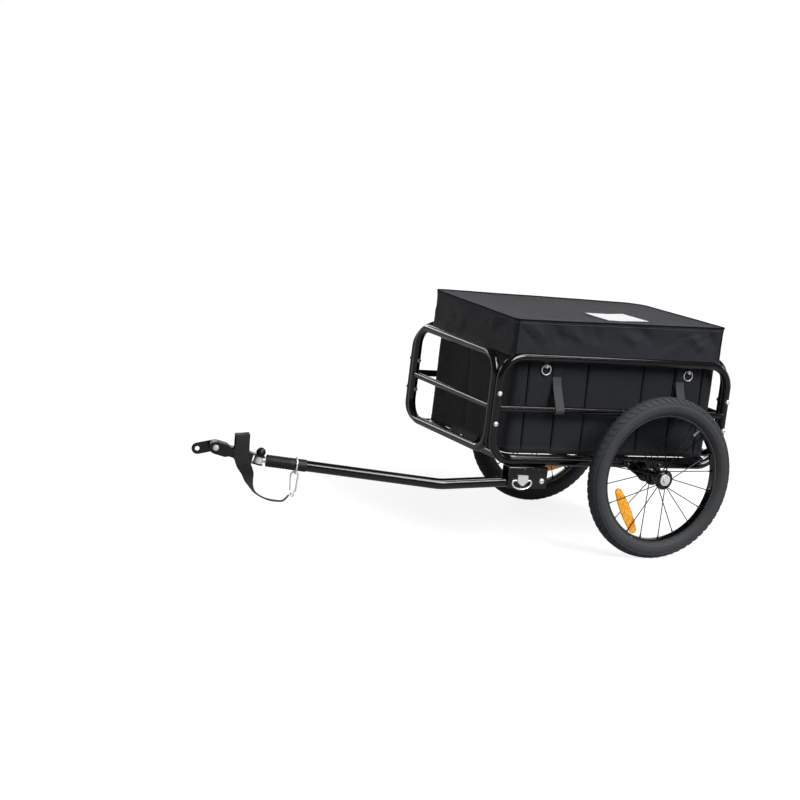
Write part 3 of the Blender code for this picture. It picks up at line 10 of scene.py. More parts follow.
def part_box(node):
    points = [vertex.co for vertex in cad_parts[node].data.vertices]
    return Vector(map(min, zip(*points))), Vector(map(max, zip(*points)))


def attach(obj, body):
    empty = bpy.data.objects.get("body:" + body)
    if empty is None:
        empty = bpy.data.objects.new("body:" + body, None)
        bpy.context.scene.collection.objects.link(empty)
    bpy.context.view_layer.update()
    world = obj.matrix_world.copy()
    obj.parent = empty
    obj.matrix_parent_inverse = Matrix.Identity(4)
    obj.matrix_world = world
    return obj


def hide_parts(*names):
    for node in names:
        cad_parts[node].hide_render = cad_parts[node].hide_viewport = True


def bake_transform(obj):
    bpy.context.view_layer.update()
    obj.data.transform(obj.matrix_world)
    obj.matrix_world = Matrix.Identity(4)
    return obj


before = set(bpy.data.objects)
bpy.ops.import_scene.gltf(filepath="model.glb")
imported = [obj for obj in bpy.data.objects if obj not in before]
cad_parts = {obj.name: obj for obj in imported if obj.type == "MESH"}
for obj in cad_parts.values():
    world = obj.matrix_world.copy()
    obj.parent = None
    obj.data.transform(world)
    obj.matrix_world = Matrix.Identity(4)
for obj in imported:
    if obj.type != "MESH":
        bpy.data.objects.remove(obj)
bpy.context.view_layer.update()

# The studio: a pale floor, even light all round, one soft lamp high on the left and four softboxes. Mirrored
# light is dim, apart from the white backdrop behind the trailer, which draws the thin bright lines along the
# tubes' edges. The camera stands at the trailer's front left, a little above it, with a long lens.


def srgb(code):
    """Linear RGBA of an sRGB hex colour."""
    parts = [int(code[i:i + 2], 16) / 255 for i in (1, 3, 5)]
    return tuple(p / 12.92 if p <= 0.04045 else ((p + 0.055) / 1.055) ** 2.4 for p in parts) + (1.0,)


def add(tree, kind, inputs=None, **settings):
    """Adds a node. Settings are its properties; each input takes a value, or the socket that feeds it."""
    made = tree.nodes.new(kind)
    for key, value in settings.items():
        setattr(made, key, value)
    for key, value in (inputs or {}).items():
        if isinstance(value, bpy.types.NodeSocket):
            tree.links.new(value, made.inputs[key])
        else:
            made.inputs[key].default_value = value
    return made


def linked(name, data):
    """A new object in the scene."""
    made = bpy.data.objects.new(name, data)
    bpy.context.scene.collection.objects.link(made)
    return made


camera = linked("camera", bpy.data.cameras.new("camera"))
camera.data.sensor_width = 36.0
camera.data.lens = 99.0
CAMERA_PLACE = (2.6195, 4.6952, 1.2116)
CAMERA_RIGHT = Vector((-0.88657, 0.44643, 0.12125))
CAMERA_UP = Vector((0.03165, -0.20294, 0.97868))
CAMERA_BACK = Vector((0.46151, 0.87150, 0.16579))
turn = Matrix((CAMERA_RIGHT, CAMERA_UP, CAMERA_BACK)).transposed()
camera.matrix_world = Matrix.Translation(CAMERA_PLACE) @ turn.to_4x4()
bpy.context.scene.camera = camera
bpy.context.scene.view_settings.view_transform = "Standard"

WHITE = srgb("#ffffff")
AMBIENT = 0.12
BACKDROP_SIDE = Vector((-0.46, -0.87, -0.17))
world = bpy.data.worlds.new("studio")
bpy.context.scene.world = world
world.use_nodes = True
sky = world.node_tree
sky.nodes.clear()
ray = add(sky, "ShaderNodeLightPath").outputs
seen = add(sky, "ShaderNodeMath", {0: ray["Is Camera Ray"], 1: ray["Is Transmission Ray"]}, operation="MAXIMUM")
heading = add(sky, "ShaderNodeTexCoord").outputs["Generated"]
towards = add(sky, "ShaderNodeVectorMath", {0: heading, 1: BACKDROP_SIDE}, operation="DOT_PRODUCT")
backdrop = add(sky, "ShaderNodeMapRange", {"Value": towards.outputs["Value"], "From Min": 0.60,
                                           "From Max": 0.92, "To Min": 0.09, "To Max": 0.62})
ambient = add(sky, "ShaderNodeBackground", {"Color": WHITE, "Strength": AMBIENT})
mirrored = add(sky, "ShaderNodeBackground", {"Color": WHITE, "Strength": backdrop.outputs[0]})
white = add(sky, "ShaderNodeBackground", {"Color": WHITE, "Strength": 1.0})
dim = add(sky, "ShaderNodeMixShader", {0: ray["Is Glossy Ray"], 1: ambient.outputs[0], 2: mirrored.outputs[0]})
chosen = add(sky, "ShaderNodeMixShader", {0: seen.outputs[0], 1: dim.outputs[0], 2: white.outputs[0]})
add(sky, "ShaderNodeOutputWorld", {"Surface": chosen.outputs[0]})

sun = linked("soft_sun", bpy.data.lights.new("soft_sun", "SUN"))
sun.data.energy = 2.75
sun.data.angle = math.radians(32)
sun.rotation_euler = Vector((0.35, -1.15, -1.0)).to_track_quat("-Z", "Y").to_euler()
# Each softbox: name, place, the point that it faces, width, depth and watts.
SOFTBOXES = (("overhead_softbox", (-0.9, 0.9, 2.6), (-0.2, 0.0, 0.4), 2.2, 0.35, 22.0),
             ("back_softbox", (0.6, -4.0, 1.9), (0.0, 0.0, 0.4), 4.0, 0.8, 44.0),
             ("left_strip", (2.6, -3.4, 1.2), (0.0, 0.0, 0.4), 0.5, 2.0, 12.0),
             ("right_strip", (-4.0, 0.6, 1.2), (-0.3, 0.0, 0.4), 0.5, 2.0, 18.0))
for name, place, aim, wide, deep, watts in SOFTBOXES:
    softbox = linked(name, bpy.data.lights.new(name, "AREA"))
    softbox.data.shape = "RECTANGLE"
    softbox.data.size, softbox.data.size_y = wide, deep
    softbox.data.energy = watts
    softbox.location = place
    softbox.rotation_euler = (Vector(aim) - Vector(place)).to_track_quat("-Z", "Y").to_euler()
    softbox.visible_camera = False

# White studio paper: matt, and bright where the camera sees it, so that it runs into the white world behind.
FLOOR_REACH = 40.0
FLOOR_DROP = -0.0006
floor_mesh = bpy.data.meshes.new("studio_floor")
floor_mesh.from_pydata([(x * FLOOR_REACH, y * FLOOR_REACH, FLOOR_DROP)
                        for x, y in ((-1, -1), (1, -1), (1, 1), (-1, 1))], [], [(0, 1, 2, 3)])
floor = linked("studio_floor", floor_mesh)
paper = bpy.data.materials.new("white_studio_paper")
paper.use_nodes = True
sheet = paper.node_tree
sheet.nodes.clear()
ray = add(sheet, "ShaderNodeLightPath").outputs
matt = add(sheet, "ShaderNodeBsdfDiffuse", {"Color": srgb("#8c8c8c")})
glow = add(sheet, "ShaderNodeEmission", {"Color": WHITE, "Strength": 0.86})
lit = add(sheet, "ShaderNodeAddShader", {0: matt.outputs[0], 1: glow.outputs[0]})
in_gloss = add(sheet, "ShaderNodeMath", {0: ray["Is Glossy Ray"], 1: 0.18}, operation="MULTIPLY")
share = add(sheet, "ShaderNodeMath", {0: ray["Is Camera Ray"], 1: in_gloss.outputs[0]}, operation="MAXIMUM")
shown = add(sheet, "ShaderNodeMixShader", {0: share.outputs[0], 1: matt.outputs[0], 2: lit.outputs[0]})
add(sheet, "ShaderNodeOutputMaterial", {"Surface": shown.outputs[0]})
floor_mesh.materials.append(paper)

# Tyres: black natural rubber, moulded with three running ribs, slanted shoulder blocks and a smooth wall with a
# fine ring near the rim. The sizes are those of the 16 inch size, 406 mm across and 46 mm wide.
TYRE_RADIUS = 0.203
TYRE_SECTION = 0.023
TYRE_MIDDLE = TYRE_RADIUS - TYRE_SECTION
RIM_WIDTH = 0.024
WHEEL_Y = 0.297
SIDES = ((1, "left"), (-1, "right"))
tyre_low, tyre_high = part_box("tyre_left")
GROUND = Matrix.Translation(((tyre_low.x + tyre_high.x) / 2, 0.0, 0.0))
HUB_PLACES = {tag: GROUND @ Matrix.Translation((0.0, side * WHEEL_Y, TYRE_RADIUS)) for side, tag in SIDES}
TO_Y = Matrix.Rotation(math.pi / 2, 4, "X")


def surface(name, slot, colour, tint, roughness, metallic=0.0, patch_mm=30.0, grain_mm=1.0, grain_depth_mm=0.03,
            **sockets):
    """A Principled material: its colour wanders in soft patches, over a fine grain that stirs the roughness."""
    made = bpy.data.materials.new(name)
    made.use_nodes = True
    tree = made.node_tree
    shader = tree.nodes["Principled BSDF"]
    place = add(tree, "ShaderNodeTexCoord").outputs["Object"]
    patches = add(tree, "ShaderNodeTexNoise", {"Vector": place, "Scale": 1000 / patch_mm, "Detail": 3.0})
    mixed = add(tree, "ShaderNodeMix", {0: patches.outputs["Fac"], 6: srgb(colour), 7: srgb(tint)},
                data_type="RGBA")
    tree.links.new(mixed.outputs[2], shader.inputs["Base Color"])
    grain = add(tree, "ShaderNodeTexNoise", {"Vector": place, "Scale": 1000 / grain_mm, "Detail": 2.0})
    rough = add(tree, "ShaderNodeMapRange", {"Value": grain.outputs["Fac"], "From Min": 0.3, "From Max": 0.7,
                                             "To Min": roughness * 0.85, "To Max": min(roughness * 1.15, 1.0)})
    tree.links.new(rough.outputs[0], shader.inputs["Roughness"])
    bump = add(tree, "ShaderNodeBump", {"Height": grain.outputs["Fac"], "Distance": grain_depth_mm / 1000,
                                        "Strength": 1.0})
    tree.links.new(bump.outputs[0], shader.inputs["Normal"])
    shader.inputs["Metallic"].default_value = metallic
    for key, value in sockets.items():
        shader.inputs[key.replace("_", " ")].default_value = value
    return made


def softened(mesh, angle=35.0):
    """The mesh, shaded smooth except at real corners."""
    mesh.shade_smooth()
    mesh.set_sharp_from_angle(angle=math.radians(angle))
    return mesh


def mesh_of(bm, angle=35.0):
    """A mesh from a bmesh: doubles merged, faces outwards."""
    bmesh.ops.remove_doubles(bm, verts=bm.verts, dist=0.000005)
    bmesh.ops.recalc_face_normals(bm, faces=bm.faces)
    mesh = bpy.data.meshes.new("shape")
    bm.to_mesh(mesh)
    bm.free()
    return softened(mesh, angle)


def circle(radius, count):
    """Points round a circle."""
    return [(radius * math.cos(2 * math.pi * k / count), radius * math.sin(2 * math.pi * k / count))
            for k in range(count)]


def turned(profile, steps, ring=False):
    """A turned shape about Z from (radius, height) pairs. A ring's profile closes on itself."""
    bm = bmesh.new()
    rows = [[bm.verts.new((x, y, height)) for x, y in circle(radius, steps if radius > 0.000001 else 1)]
            for radius, height in profile]
    pairs = list(zip(rows, rows[1:])) + ([(rows[-1], rows[0])] if ring else [])
    for a, b in pairs:
        for k in range(steps):
            n = (k + 1) % steps
            corners = [a[k % len(a)], a[n % len(a)], b[n % len(b)], b[k % len(b)]]
            bm.faces.new(list(dict.fromkeys(corners)))
    return mesh_of(bm)


def joined(meshes):
    """Several meshes in one."""
    bm = bmesh.new()
    for mesh in meshes:
        bm.from_mesh(mesh)
    made = bpy.data.meshes.new("joined")
    bm.to_mesh(made)
    bm.free()
    return softened(made)


def moved(mesh, matrix):
    """A copy of a mesh, moved by a matrix."""
    copy = mesh.copy()
    copy.transform(matrix)
    return copy


def baked(host):
    """The plain mesh of an object as its modifiers or its curve make it. The object goes."""
    bpy.context.view_layer.update()
    graph = bpy.context.evaluated_depsgraph_get()
    made = bpy.data.meshes.new_from_object(host.evaluated_get(graph))
    bpy.data.objects.remove(host, do_unlink=True)
    return made


def piece(name, mesh, look, body, replaces=(), place=GROUND):
    """A finished piece: its object at the origin, with its place in its mesh, riding on its body."""
    mesh.transform(place)
    mesh.materials.clear()
    mesh.materials.append(look)
    made = linked(name, mesh)
    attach(made, body)
    if replaces:
        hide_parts(*replaces)
    return made


def node_group(name, fields):
    """A Geometry Nodes tree with named inputs; returns it with its input's sockets and its output node."""
    tree = bpy.data.node_groups.new(name, "GeometryNodeTree")
    for label, kind in fields:
        tree.interface.new_socket(label, in_out="INPUT", socket_type=kind)
    tree.interface.new_socket("Geometry", in_out="OUTPUT", socket_type="NodeSocketGeometry")
    return tree, add(tree, "NodeGroupInput").outputs, add(tree, "NodeGroupOutput")


def stand_items(tree, fields, out, points, rotation):
    """Ends a tree: its Item stands on each point, is made real and gets its Look."""
    item = add(tree, "GeometryNodeObjectInfo", {"Object": fields["Item"]})
    copies = add(tree, "GeometryNodeInstanceOnPoints", {
        "Points": points, "Instance": item.outputs["Geometry"], "Rotation": rotation})
    real = add(tree, "GeometryNodeRealizeInstances", {0: copies.outputs[0]})
    dressed = add(tree, "GeometryNodeSetMaterial", {"Geometry": real.outputs[0], "Material": fields["Look"]})
    tree.links.new(dressed.outputs[0], out.inputs[0])


def grown(tree, item, values, mesh=None):
    """The plain mesh that a tree makes of an item, with its other inputs set by name."""
    host = linked("host", mesh or bpy.data.meshes.new("empty"))
    modifier = host.modifiers.new("grow", "NODES")
    modifier.node_group = tree
    values = {**values, "Item": linked("item", item)}
    for socket in tree.interface.items_tree:
        if socket.in_out == "INPUT" and socket.name in values:
            modifier[socket.identifier] = values[socket.name]
    made = baked(host)
    bpy.data.objects.remove(values["Item"], do_unlink=True)
    return softened(made)


ring_tree, ring_in, ring_out = node_group("copies_round_an_axle", (
    ("Item", "NodeSocketObject"), ("Copies", "NodeSocketInt"), ("Look", "NodeSocketMaterial")))
ring_line = add(ring_tree, "GeometryNodeMeshLine", {"Count": ring_in["Copies"], "Offset": (0.0, 0.0, 0.0)})
ring_step = add(ring_tree, "ShaderNodeMath", {0: 2 * math.pi, 1: ring_in["Copies"]}, operation="DIVIDE")
ring_turn = add(ring_tree, "ShaderNodeMath", {0: add(ring_tree, "GeometryNodeInputIndex").outputs[0],
                                              1: ring_step.outputs[0]}, operation="MULTIPLY")
ring_angles = add(ring_tree, "ShaderNodeCombineXYZ", {"Z": ring_turn.outputs[0]})
stand_items(ring_tree, ring_in, ring_out, ring_line.outputs[0], ring_angles.outputs[0])


def round_axle(item, copies, look):
    """Copies of a mesh turned evenly about the Y axis, where it is given as it lies in the wheel."""
    made = grown(ring_tree, moved(item, TO_Y.inverted()), {"Copies": copies, "Look": look})
    made.transform(TO_Y)
    return made


# Vulcanised natural rubber with carbon black: matt, a little grey from handling, with a fine mould texture.
tyre_rubber = surface("vulcanised_tyre_rubber", "tyre_rubber", "#434548", "#3a3c3f", 0.62, patch_mm=45.0,
                      grain_mm=1.4, grain_depth_mm=0.12, Specular_IOR_Level=0.25)
TURN_STEPS = 144
RIB_ANGLES = ((-17.0, -7.5), (-4.5, 4.5), (7.5, 17.0))
TREAD_BASE = TYRE_SECTION - 0.0012
BLOCK_COUNT = 64
BLOCK_START, BLOCK_RUN = 20, 34
BEAD_ANGLE = 180 - math.degrees(math.asin((RIM_WIDTH / 2 - 0.0003) / TYRE_SECTION))


def on_section(degrees, radius):
    """A point of the tyre's section: radius from the axle, and place across the width."""
    angle = math.radians(degrees)
    return TYRE_MIDDLE + radius * math.cos(angle), radius * math.sin(angle)


def tyre_profile():
    """The closed section of the casing, from bead to bead over the crown and back along the lining."""
    outer = []
    for step in range(-36, 37):
        degrees = BEAD_ANGLE * step / 36
        radius = TREAD_BASE if abs(degrees) < 60 else TYRE_SECTION - 0.0004
        if any(low <= degrees <= high for low, high in RIB_ANGLES):
            radius = TYRE_SECTION
        if 56 < abs(degrees) < 64:
            radius = TYRE_SECTION + 0.0003
        if 64 < abs(degrees) < 68:
            radius = TYRE_SECTION - 0.0012
        if 112 < abs(degrees) < 118:
            radius = TYRE_SECTION + 0.0002
        outer.append(on_section(degrees, radius))
    lining = [on_section(BEAD_ANGLE * step / 9, TYRE_SECTION - 0.0035) for step in range(9, -10, -1)]
    return outer + lining


def shoulder_block(side):
    """One slanted tread block on the tyre's shoulder, lying on the casing."""
    bm = bmesh.new()
    rows = []
    width = 2 * math.pi / BLOCK_COUNT * 0.34
    for k in range(5):
        share = k / 4
        degrees = side * (BLOCK_START + BLOCK_RUN * share)
        lean = side * (share - 0.5) * width * 1.5
        narrow = width * (1.0 - 0.35 * share)
        row = []
        for radius, spread in ((TREAD_BASE - 0.0006, 1.0), (TYRE_SECTION + 0.0006, 0.82)):
            r, y = on_section(degrees, radius)
            for edge in (-1, 1):
                angle = lean + edge * narrow * spread
                row.append(bm.verts.new((r * math.cos(angle), y, r * math.sin(angle))))
        rows.append(row)
    for a, b in zip(rows, rows[1:]):
        for first, second in ((0, 1), (1, 3), (3, 2), (2, 0)):
            bm.faces.new((a[first], a[second], b[second], b[first]))
    for row in (rows[0], rows[-1]):
        bm.faces.new((row[0], row[1], row[3], row[2]))
    return mesh_of(bm)


for side, tag in SIDES:
    casing = moved(turned(tyre_profile(), TURN_STEPS, ring=True), TO_Y)
    blocks = [round_axle(shoulder_block(edge), BLOCK_COUNT, tyre_rubber) for edge in (1, -1)]
    piece("tyre_with_tread_" + tag, joined([casing] + blocks), tyre_rubber, "wheel_" + tag, ["tyre_" + tag],
          HUB_PLACES[tag])

# Rims: rolled aluminium channel, black anodised. A thin bright metal ring at each edge of the brake face is a
# painted highlight.
# Its twenty holes hold the spokes' nipples.
RIM_FLANGE = TYRE_MIDDLE - TYRE_SECTION * math.cos(math.radians(180 - BEAD_ANGLE)) - 0.0003
RIM_BED = RIM_FLANGE - 0.0054
RIM_HALF = RIM_WIDTH / 2
HIGHLIGHT_RING_INSET, HIGHLIGHT_RING_RADIUS = 0.0009, 0.0005
# Black anodised aluminium: satin, dark, with a faint grain along the rolling direction.
rim_black = surface("black_anodised_aluminium", "black_paint", "#050506", "#0a0b0c", 0.12, patch_mm=60.0,
                    grain_mm=0.8, grain_depth_mm=0.004, Specular_IOR_Level=0.9)
# Bright metal for the painted highlight: a thin ring beside the brake face that stands for the rim's highlight.
rim_highlight_metal = surface("rim_painted_highlight_metal", "zinc_steel", "#b4b6b8", "#8e9092", 0.22, metallic=1.0,
                         patch_mm=9.0, grain_mm=0.5, grain_depth_mm=0.002)
edge_profile = [(RIM_BED, RIM_HALF - 0.005), (RIM_BED + 0.0004, RIM_HALF - 0.0022),
                (RIM_BED + 0.0016, RIM_HALF - 0.0004), (RIM_FLANGE - 0.0005, RIM_HALF),
                (RIM_FLANGE, RIM_HALF - 0.0004), (RIM_FLANGE + 0.0002, RIM_HALF - 0.0012),
                (RIM_FLANGE - 0.0006, RIM_HALF - 0.0022), (RIM_BED + 0.0028, RIM_HALF - 0.0034),
                (RIM_BED + 0.0018, RIM_HALF - 0.0062)]
channel = edge_profile + [(r, -y) for r, y in reversed(edge_profile)]
for side, tag in SIDES:
    rim = moved(turned(channel, TURN_STEPS, ring=True), TO_Y)
    piece("channel_rim_" + tag, rim, rim_black, "wheel_" + tag, ["rim_" + tag], HUB_PLACES[tag])
    # Painted highlight: a bright metal ring along each edge of the rim.
    highlight_rings = [[(RIM_FLANGE - HIGHLIGHT_RING_INSET + x, edge * RIM_HALF + y) for x, y in circle(HIGHLIGHT_RING_RADIUS, 6)]
             for edge in (1, -1)]
    highlight_ring_meshes = [moved(turned(line, TURN_STEPS, ring=True), TO_Y) for line in highlight_rings]
    piece("turned_rim_edge_" + tag, joined(highlight_ring_meshes), rim_highlight_metal, "wheel_" + tag, (), HUB_PLACES[tag])

# Hubs: a pressed steel shell with two flanges, painted black, with stainless spokes hooked in them in turn,
# left and right leaning. Each spoke ends in a nipple in the rim. The valve stands out through the rim.
HUB_OUTBOARD = 0.0235
HUB_LENGTH = 0.0575
HUB_BORE = 0.0115
SHELL_RADIUS = 0.0155
FLANGE_RADIUS = 0.025
FLANGE_THICKNESS = 0.003
FLANGE_OUTER = HUB_OUTBOARD - 0.002
FLANGE_INNER = HUB_OUTBOARD - HUB_LENGTH + 0.004
SPOKE_COUNT = 20
SPOKE_PHASE = math.radians(-7)
SPOKE_CIRCLE = 0.0205
SPOKE_LACING = math.radians(18)
SPOKE_RADIUS = 0.0012
NIPPLE_LENGTH = 0.009
VALVE_ANGLE = math.radians(128)
CAP_RIBS = 12
# Black powder coat: glossy polyester paint, baked on steel, with the slight orange peel that such paint has.
powder_coat = surface("black_powder_coat", "black_paint", "#030304", "#060607", 0.15, patch_mm=80.0,
                      grain_mm=1.8, grain_depth_mm=0.010, Specular_IOR_Level=0.5, Coat_Weight=0.3,
                      Coat_Roughness=0.05)
# Drawn stainless wire: steel that looks dark against a white room.
spoke_steel = surface("drawn_stainless_wire", "zinc_steel", "#3a3b3e", "#2c2d30", 0.30, metallic=1.0,
                      patch_mm=12.0, grain_mm=0.4, grain_depth_mm=0.003)
# Zinc plated steel: bright grey with a soft bluish cast, slightly clouded by the plating bath.
zinc = surface("zinc_plated_steel", "zinc_steel", "#fafbfc", "#e8eaec", 0.34, metallic=0.48, patch_mm=6.0,
               grain_mm=0.5, grain_depth_mm=0.004)
# Black butyl rubber that isn't on the road: inner tube, valve cap, the drawbar's sleeve.
soft_rubber = surface("black_butyl_rubber", "soft_rubber", "#08090a", "#0d0e0f", 0.55, patch_mm=15.0,
                      grain_mm=0.9, grain_depth_mm=0.03)


def rod(start, end, radius, sides=12, end_radius=None):
    """A straight round bar between two points, that may taper."""
    start, end = Vector(start), Vector(end)
    run = end - start
    tip = radius if end_radius is None else end_radius
    mesh = turned([(0.0, 0.0), (radius, 0.0), (tip, run.length), (0.0, run.length)], sides)
    mesh.transform(Matrix.Translation(start) @ Vector((0, 0, 1)).rotation_difference(run).to_matrix().to_4x4())
    return mesh


def outwards(side):
    """Turns a shape's Z to point out of the trailer on one side."""
    return Matrix.Rotation(-side * math.pi / 2, 4, "X")


def finished(look, *nodes):
    """Gives CAD nodes that show as they are their finish."""
    for node in nodes:
        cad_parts[node].material_slots[0].material = look


def flange_edge(face):
    """The rim of a hub flange, from its outboard face to its inboard one."""
    inboard = face - FLANGE_THICKNESS
    return [(FLANGE_RADIUS - 0.0005, face), (FLANGE_RADIUS, face - 0.0006), (FLANGE_RADIUS, inboard + 0.0006),
            (FLANGE_RADIUS - 0.0005, inboard)]


hub_bottom = HUB_OUTBOARD - HUB_LENGTH
valley_top, valley_bottom = FLANGE_OUTER - FLANGE_THICKNESS, FLANGE_INNER + FLANGE_THICKNESS
shell_profile = [(HUB_BORE, HUB_OUTBOARD), (SHELL_RADIUS + 0.0015, HUB_OUTBOARD),
                 (SHELL_RADIUS + 0.0028, HUB_OUTBOARD - 0.0008), (SHELL_RADIUS + 0.004, FLANGE_OUTER)]
shell_profile += flange_edge(FLANGE_OUTER)
shell_profile += [(SHELL_RADIUS + 0.003, valley_top), (SHELL_RADIUS, valley_top - 0.003),
                  (SHELL_RADIUS, valley_bottom + 0.003), (SHELL_RADIUS + 0.003, valley_bottom)]
shell_profile += flange_edge(valley_bottom)
shell_profile += [(SHELL_RADIUS + 0.001, FLANGE_INNER), (SHELL_RADIUS - 0.001, hub_bottom + 0.0008),
                  (SHELL_RADIUS - 0.002, hub_bottom), (HUB_BORE, hub_bottom)]
# A sealed bearing: inner ring, seal and outer ring as (inner radius, outer radius, bottom, top).
BEARING_RINGS = ((0.0054, 0.0072, 0.0, 0.007), (0.0072, 0.0098, 0.0006, 0.0064), (0.0098, 0.011, 0.0, 0.007))
for side, tag in SIDES:
    body = "wheel_" + tag
    place = HUB_PLACES[tag]
    shell = turned(shell_profile, 72, ring=True)
    piece("hub_shell_" + tag, moved(shell, outwards(side)), powder_coat, body, ["spoked_hub_" + tag], place)
    wires, nipples = [], []
    for flange, y_flange, y_rim in ((0, FLANGE_INNER + FLANGE_THICKNESS / 2, -0.003),
                                    (1, FLANGE_OUTER - FLANGE_THICKNESS / 2, 0.003)):
        for lean in (1, -1):
            rim_angle = SPOKE_PHASE + 2 * math.pi * ((0 if lean == 1 else 2) + flange) / SPOKE_COUNT
            hub_angle = rim_angle + lean * SPOKE_LACING
            beside = lean * (FLANGE_THICKNESS / 2 + SPOKE_RADIUS)
            inner = Vector((SPOKE_CIRCLE * math.cos(hub_angle), side * (y_flange + beside),
                            SPOKE_CIRCLE * math.sin(hub_angle)))
            outer = Vector((RIM_BED * math.cos(rim_angle), side * y_rim, RIM_BED * math.sin(rim_angle)))
            run = (outer - inner).normalized()
            through = Vector((0, side * lean, 0))
            head_side = inner - through * (FLANGE_THICKNESS + 2.4 * SPOKE_RADIUS)
            wire = [rod(inner - run * 0.0008, outer - run * 0.0004, SPOKE_RADIUS, 10),
                    rod(inner, head_side, SPOKE_RADIUS, 10),
                    rod(head_side, head_side - through * 0.0008, 0.0021, 12, 0.0015)]
            wires.append(round_axle(joined(wire), SPOKE_COUNT // 4, spoke_steel))
            cone = [rod(outer - run * NIPPLE_LENGTH, outer - run * 0.0018, 0.0016, 12, 0.0019),
                    rod(outer - run * 0.0022, outer, 0.0026, 12, 0.0029)]
            nipples.append(round_axle(joined(cone), SPOKE_COUNT // 4, spoke_steel))
    piece("spokes_" + tag, joined(wires), spoke_steel, body, (), place)
    piece("spoke_nipples_" + tag, joined(nipples), spoke_steel, body, (), place)
    out = Vector((math.cos(VALVE_ANGLE), 0.0, math.sin(VALVE_ANGLE)))
    across = Vector((-out.z, 0.0, out.x))
    stem = [rod(out * (RIM_BED - 0.019), out * (RIM_BED + 0.004), 0.0029, 20),
            rod(out * (RIM_BED - 0.0036), out * (RIM_BED - 0.0006), 0.0055, 6)]
    stem += [rod(out * (RIM_BED - 0.019 + 0.0014 * k), out * (RIM_BED - 0.0184 + 0.0014 * k), 0.0032, 20)
             for k in range(10)]
    piece("valve_stem_" + tag, joined(stem), zinc, body, (), place)
    cap = [rod(out * (RIM_BED - 0.030), out * (RIM_BED - 0.0185), 0.0034, 20, 0.0039)]
    for u, v in circle(1.0, CAP_RIBS):
        spread = across * u + Vector((0, v, 0))
        cap.append(rod(out * (RIM_BED - 0.029) + spread * 0.0037, out * (RIM_BED - 0.0188) + spread * 0.0039,
                       0.0004, 6))
    piece("valve_cap_" + tag, joined(cap), soft_rubber, body, (), place)
    finished(soft_rubber, "inner_tube_" + tag)
    for kind, start in (("outer_bearing_", HUB_OUTBOARD - 0.008), ("inner_bearing_", hub_bottom + 0.001)):
        race = [turned([(a, top), (a, bottom), (b, bottom), (b, top)], 48, ring=True)
                for a, b, bottom, top in BEARING_RINGS]
        piece("sealed_" + kind + tag, moved(joined(race), outwards(side) @ Matrix.Translation((0, 0, start))),
              zinc, body, [kind + tag], place)

# The quick release axle: a zinc plated steel pin with a round head, and in the head the sprung button that frees
# the balls which lock it in the frame's sleeve.
HEAD_RADIUS = 0.0142
PIN_RADIUS = 0.005
PIN_END = -0.09
head = HUB_OUTBOARD + 0.0004
pin_profile = [(0.0, head + 0.0008), (0.0064, head + 0.0008), (0.0064, head + 0.0031), (0.0072, head + 0.0035),
               (HEAD_RADIUS - 0.0012, head + 0.0035), (HEAD_RADIUS - 0.0003, head + 0.0031),
               (HEAD_RADIUS, head + 0.0022), (HEAD_RADIUS, head + 0.0004), (HEAD_RADIUS - 0.0004, head),
               (PIN_RADIUS, head), (PIN_RADIUS, PIN_END + 0.001), (PIN_RADIUS - 0.001, PIN_END), (0.0, PIN_END)]
knob_profile = [(0.0, head + 0.0056), (0.0022, head + 0.0055), (0.0048, head + 0.0060), (0.0056, head + 0.0059),
                (0.006, head + 0.0054), (0.006, head + 0.0031), (0.0, head + 0.0031)]
for side, tag in SIDES:
    piece("axle_pin_" + tag, moved(turned(pin_profile, 64), outwards(side)), zinc, "quick_release_axle_" + tag,
          ["axle_" + tag], HUB_PLACES[tag])
    piece("push_button_" + tag, moved(turned(knob_profile, 48), outwards(side)), zinc, "button_" + tag,
          ["release_button_" + tag], HUB_PLACES[tag])

# Reflectors: amber acrylic, moulded with a field of small corner prisms behind a clear face, in a thin raised
# edge. Each is pushed in between the spokes of its wheel.
REFLECTOR_ANGLES = {"left": math.radians(-45), "right": math.radians(-117)}
REFLECTOR_TILT = math.radians(14)
REFLECTOR_PLACE = RIM_BED - 0.0347
REFLECTOR_HALF = 0.065
REFLECTOR_WIDTH = 0.0142
REFLECTOR_DEPTH = 0.0060
EDGE_BEAD = 0.0007
PRISM_MM = 5.0
# Amber acrylic: clear orange with prisms, drawn 5 mm across so that they show. Each prism cell is painted in a
# light or a dark amber as painted glints, and these colours glow a little as a painted glow for the light that
# the prisms throw back to where it comes from.
amber = bpy.data.materials.new("amber_acrylic")
amber.use_nodes = True
amber_tree = amber.node_tree
amber_in = amber_tree.nodes["Principled BSDF"].inputs
amber_place = add(amber_tree, "ShaderNodeTexCoord").outputs["Object"]
cells = add(amber_tree, "ShaderNodeTexVoronoi", {"Vector": amber_place, "Scale": 1000 / PRISM_MM,
                                                 "Randomness": 0.4})
# Painted glints: each prism cell takes a light or a dark amber.
painted_glint_mix = add(amber_tree, "ShaderNodeMix", {0: cells.outputs["Color"], 6: srgb("#ffc838"), 7: srgb("#e67400")},
               data_type="RGBA")
amber_bump = add(amber_tree, "ShaderNodeBump", {"Height": cells.outputs["Distance"], "Distance": 0.0012})
amber_tree.links.new(painted_glint_mix.outputs[2], amber_in["Base Color"])
# Painted glow: the glint colours also feed the emission.
amber_tree.links.new(painted_glint_mix.outputs[2], amber_in["Emission Color"])
amber_tree.links.new(amber_bump.outputs[0], amber_in["Normal"])
for key, value in (("Roughness", 0.16), ("Emission Strength", 0.18), ("Coat Weight", 0.6),
                   ("Coat Roughness", 0.05)):
    amber_in[key].default_value = value


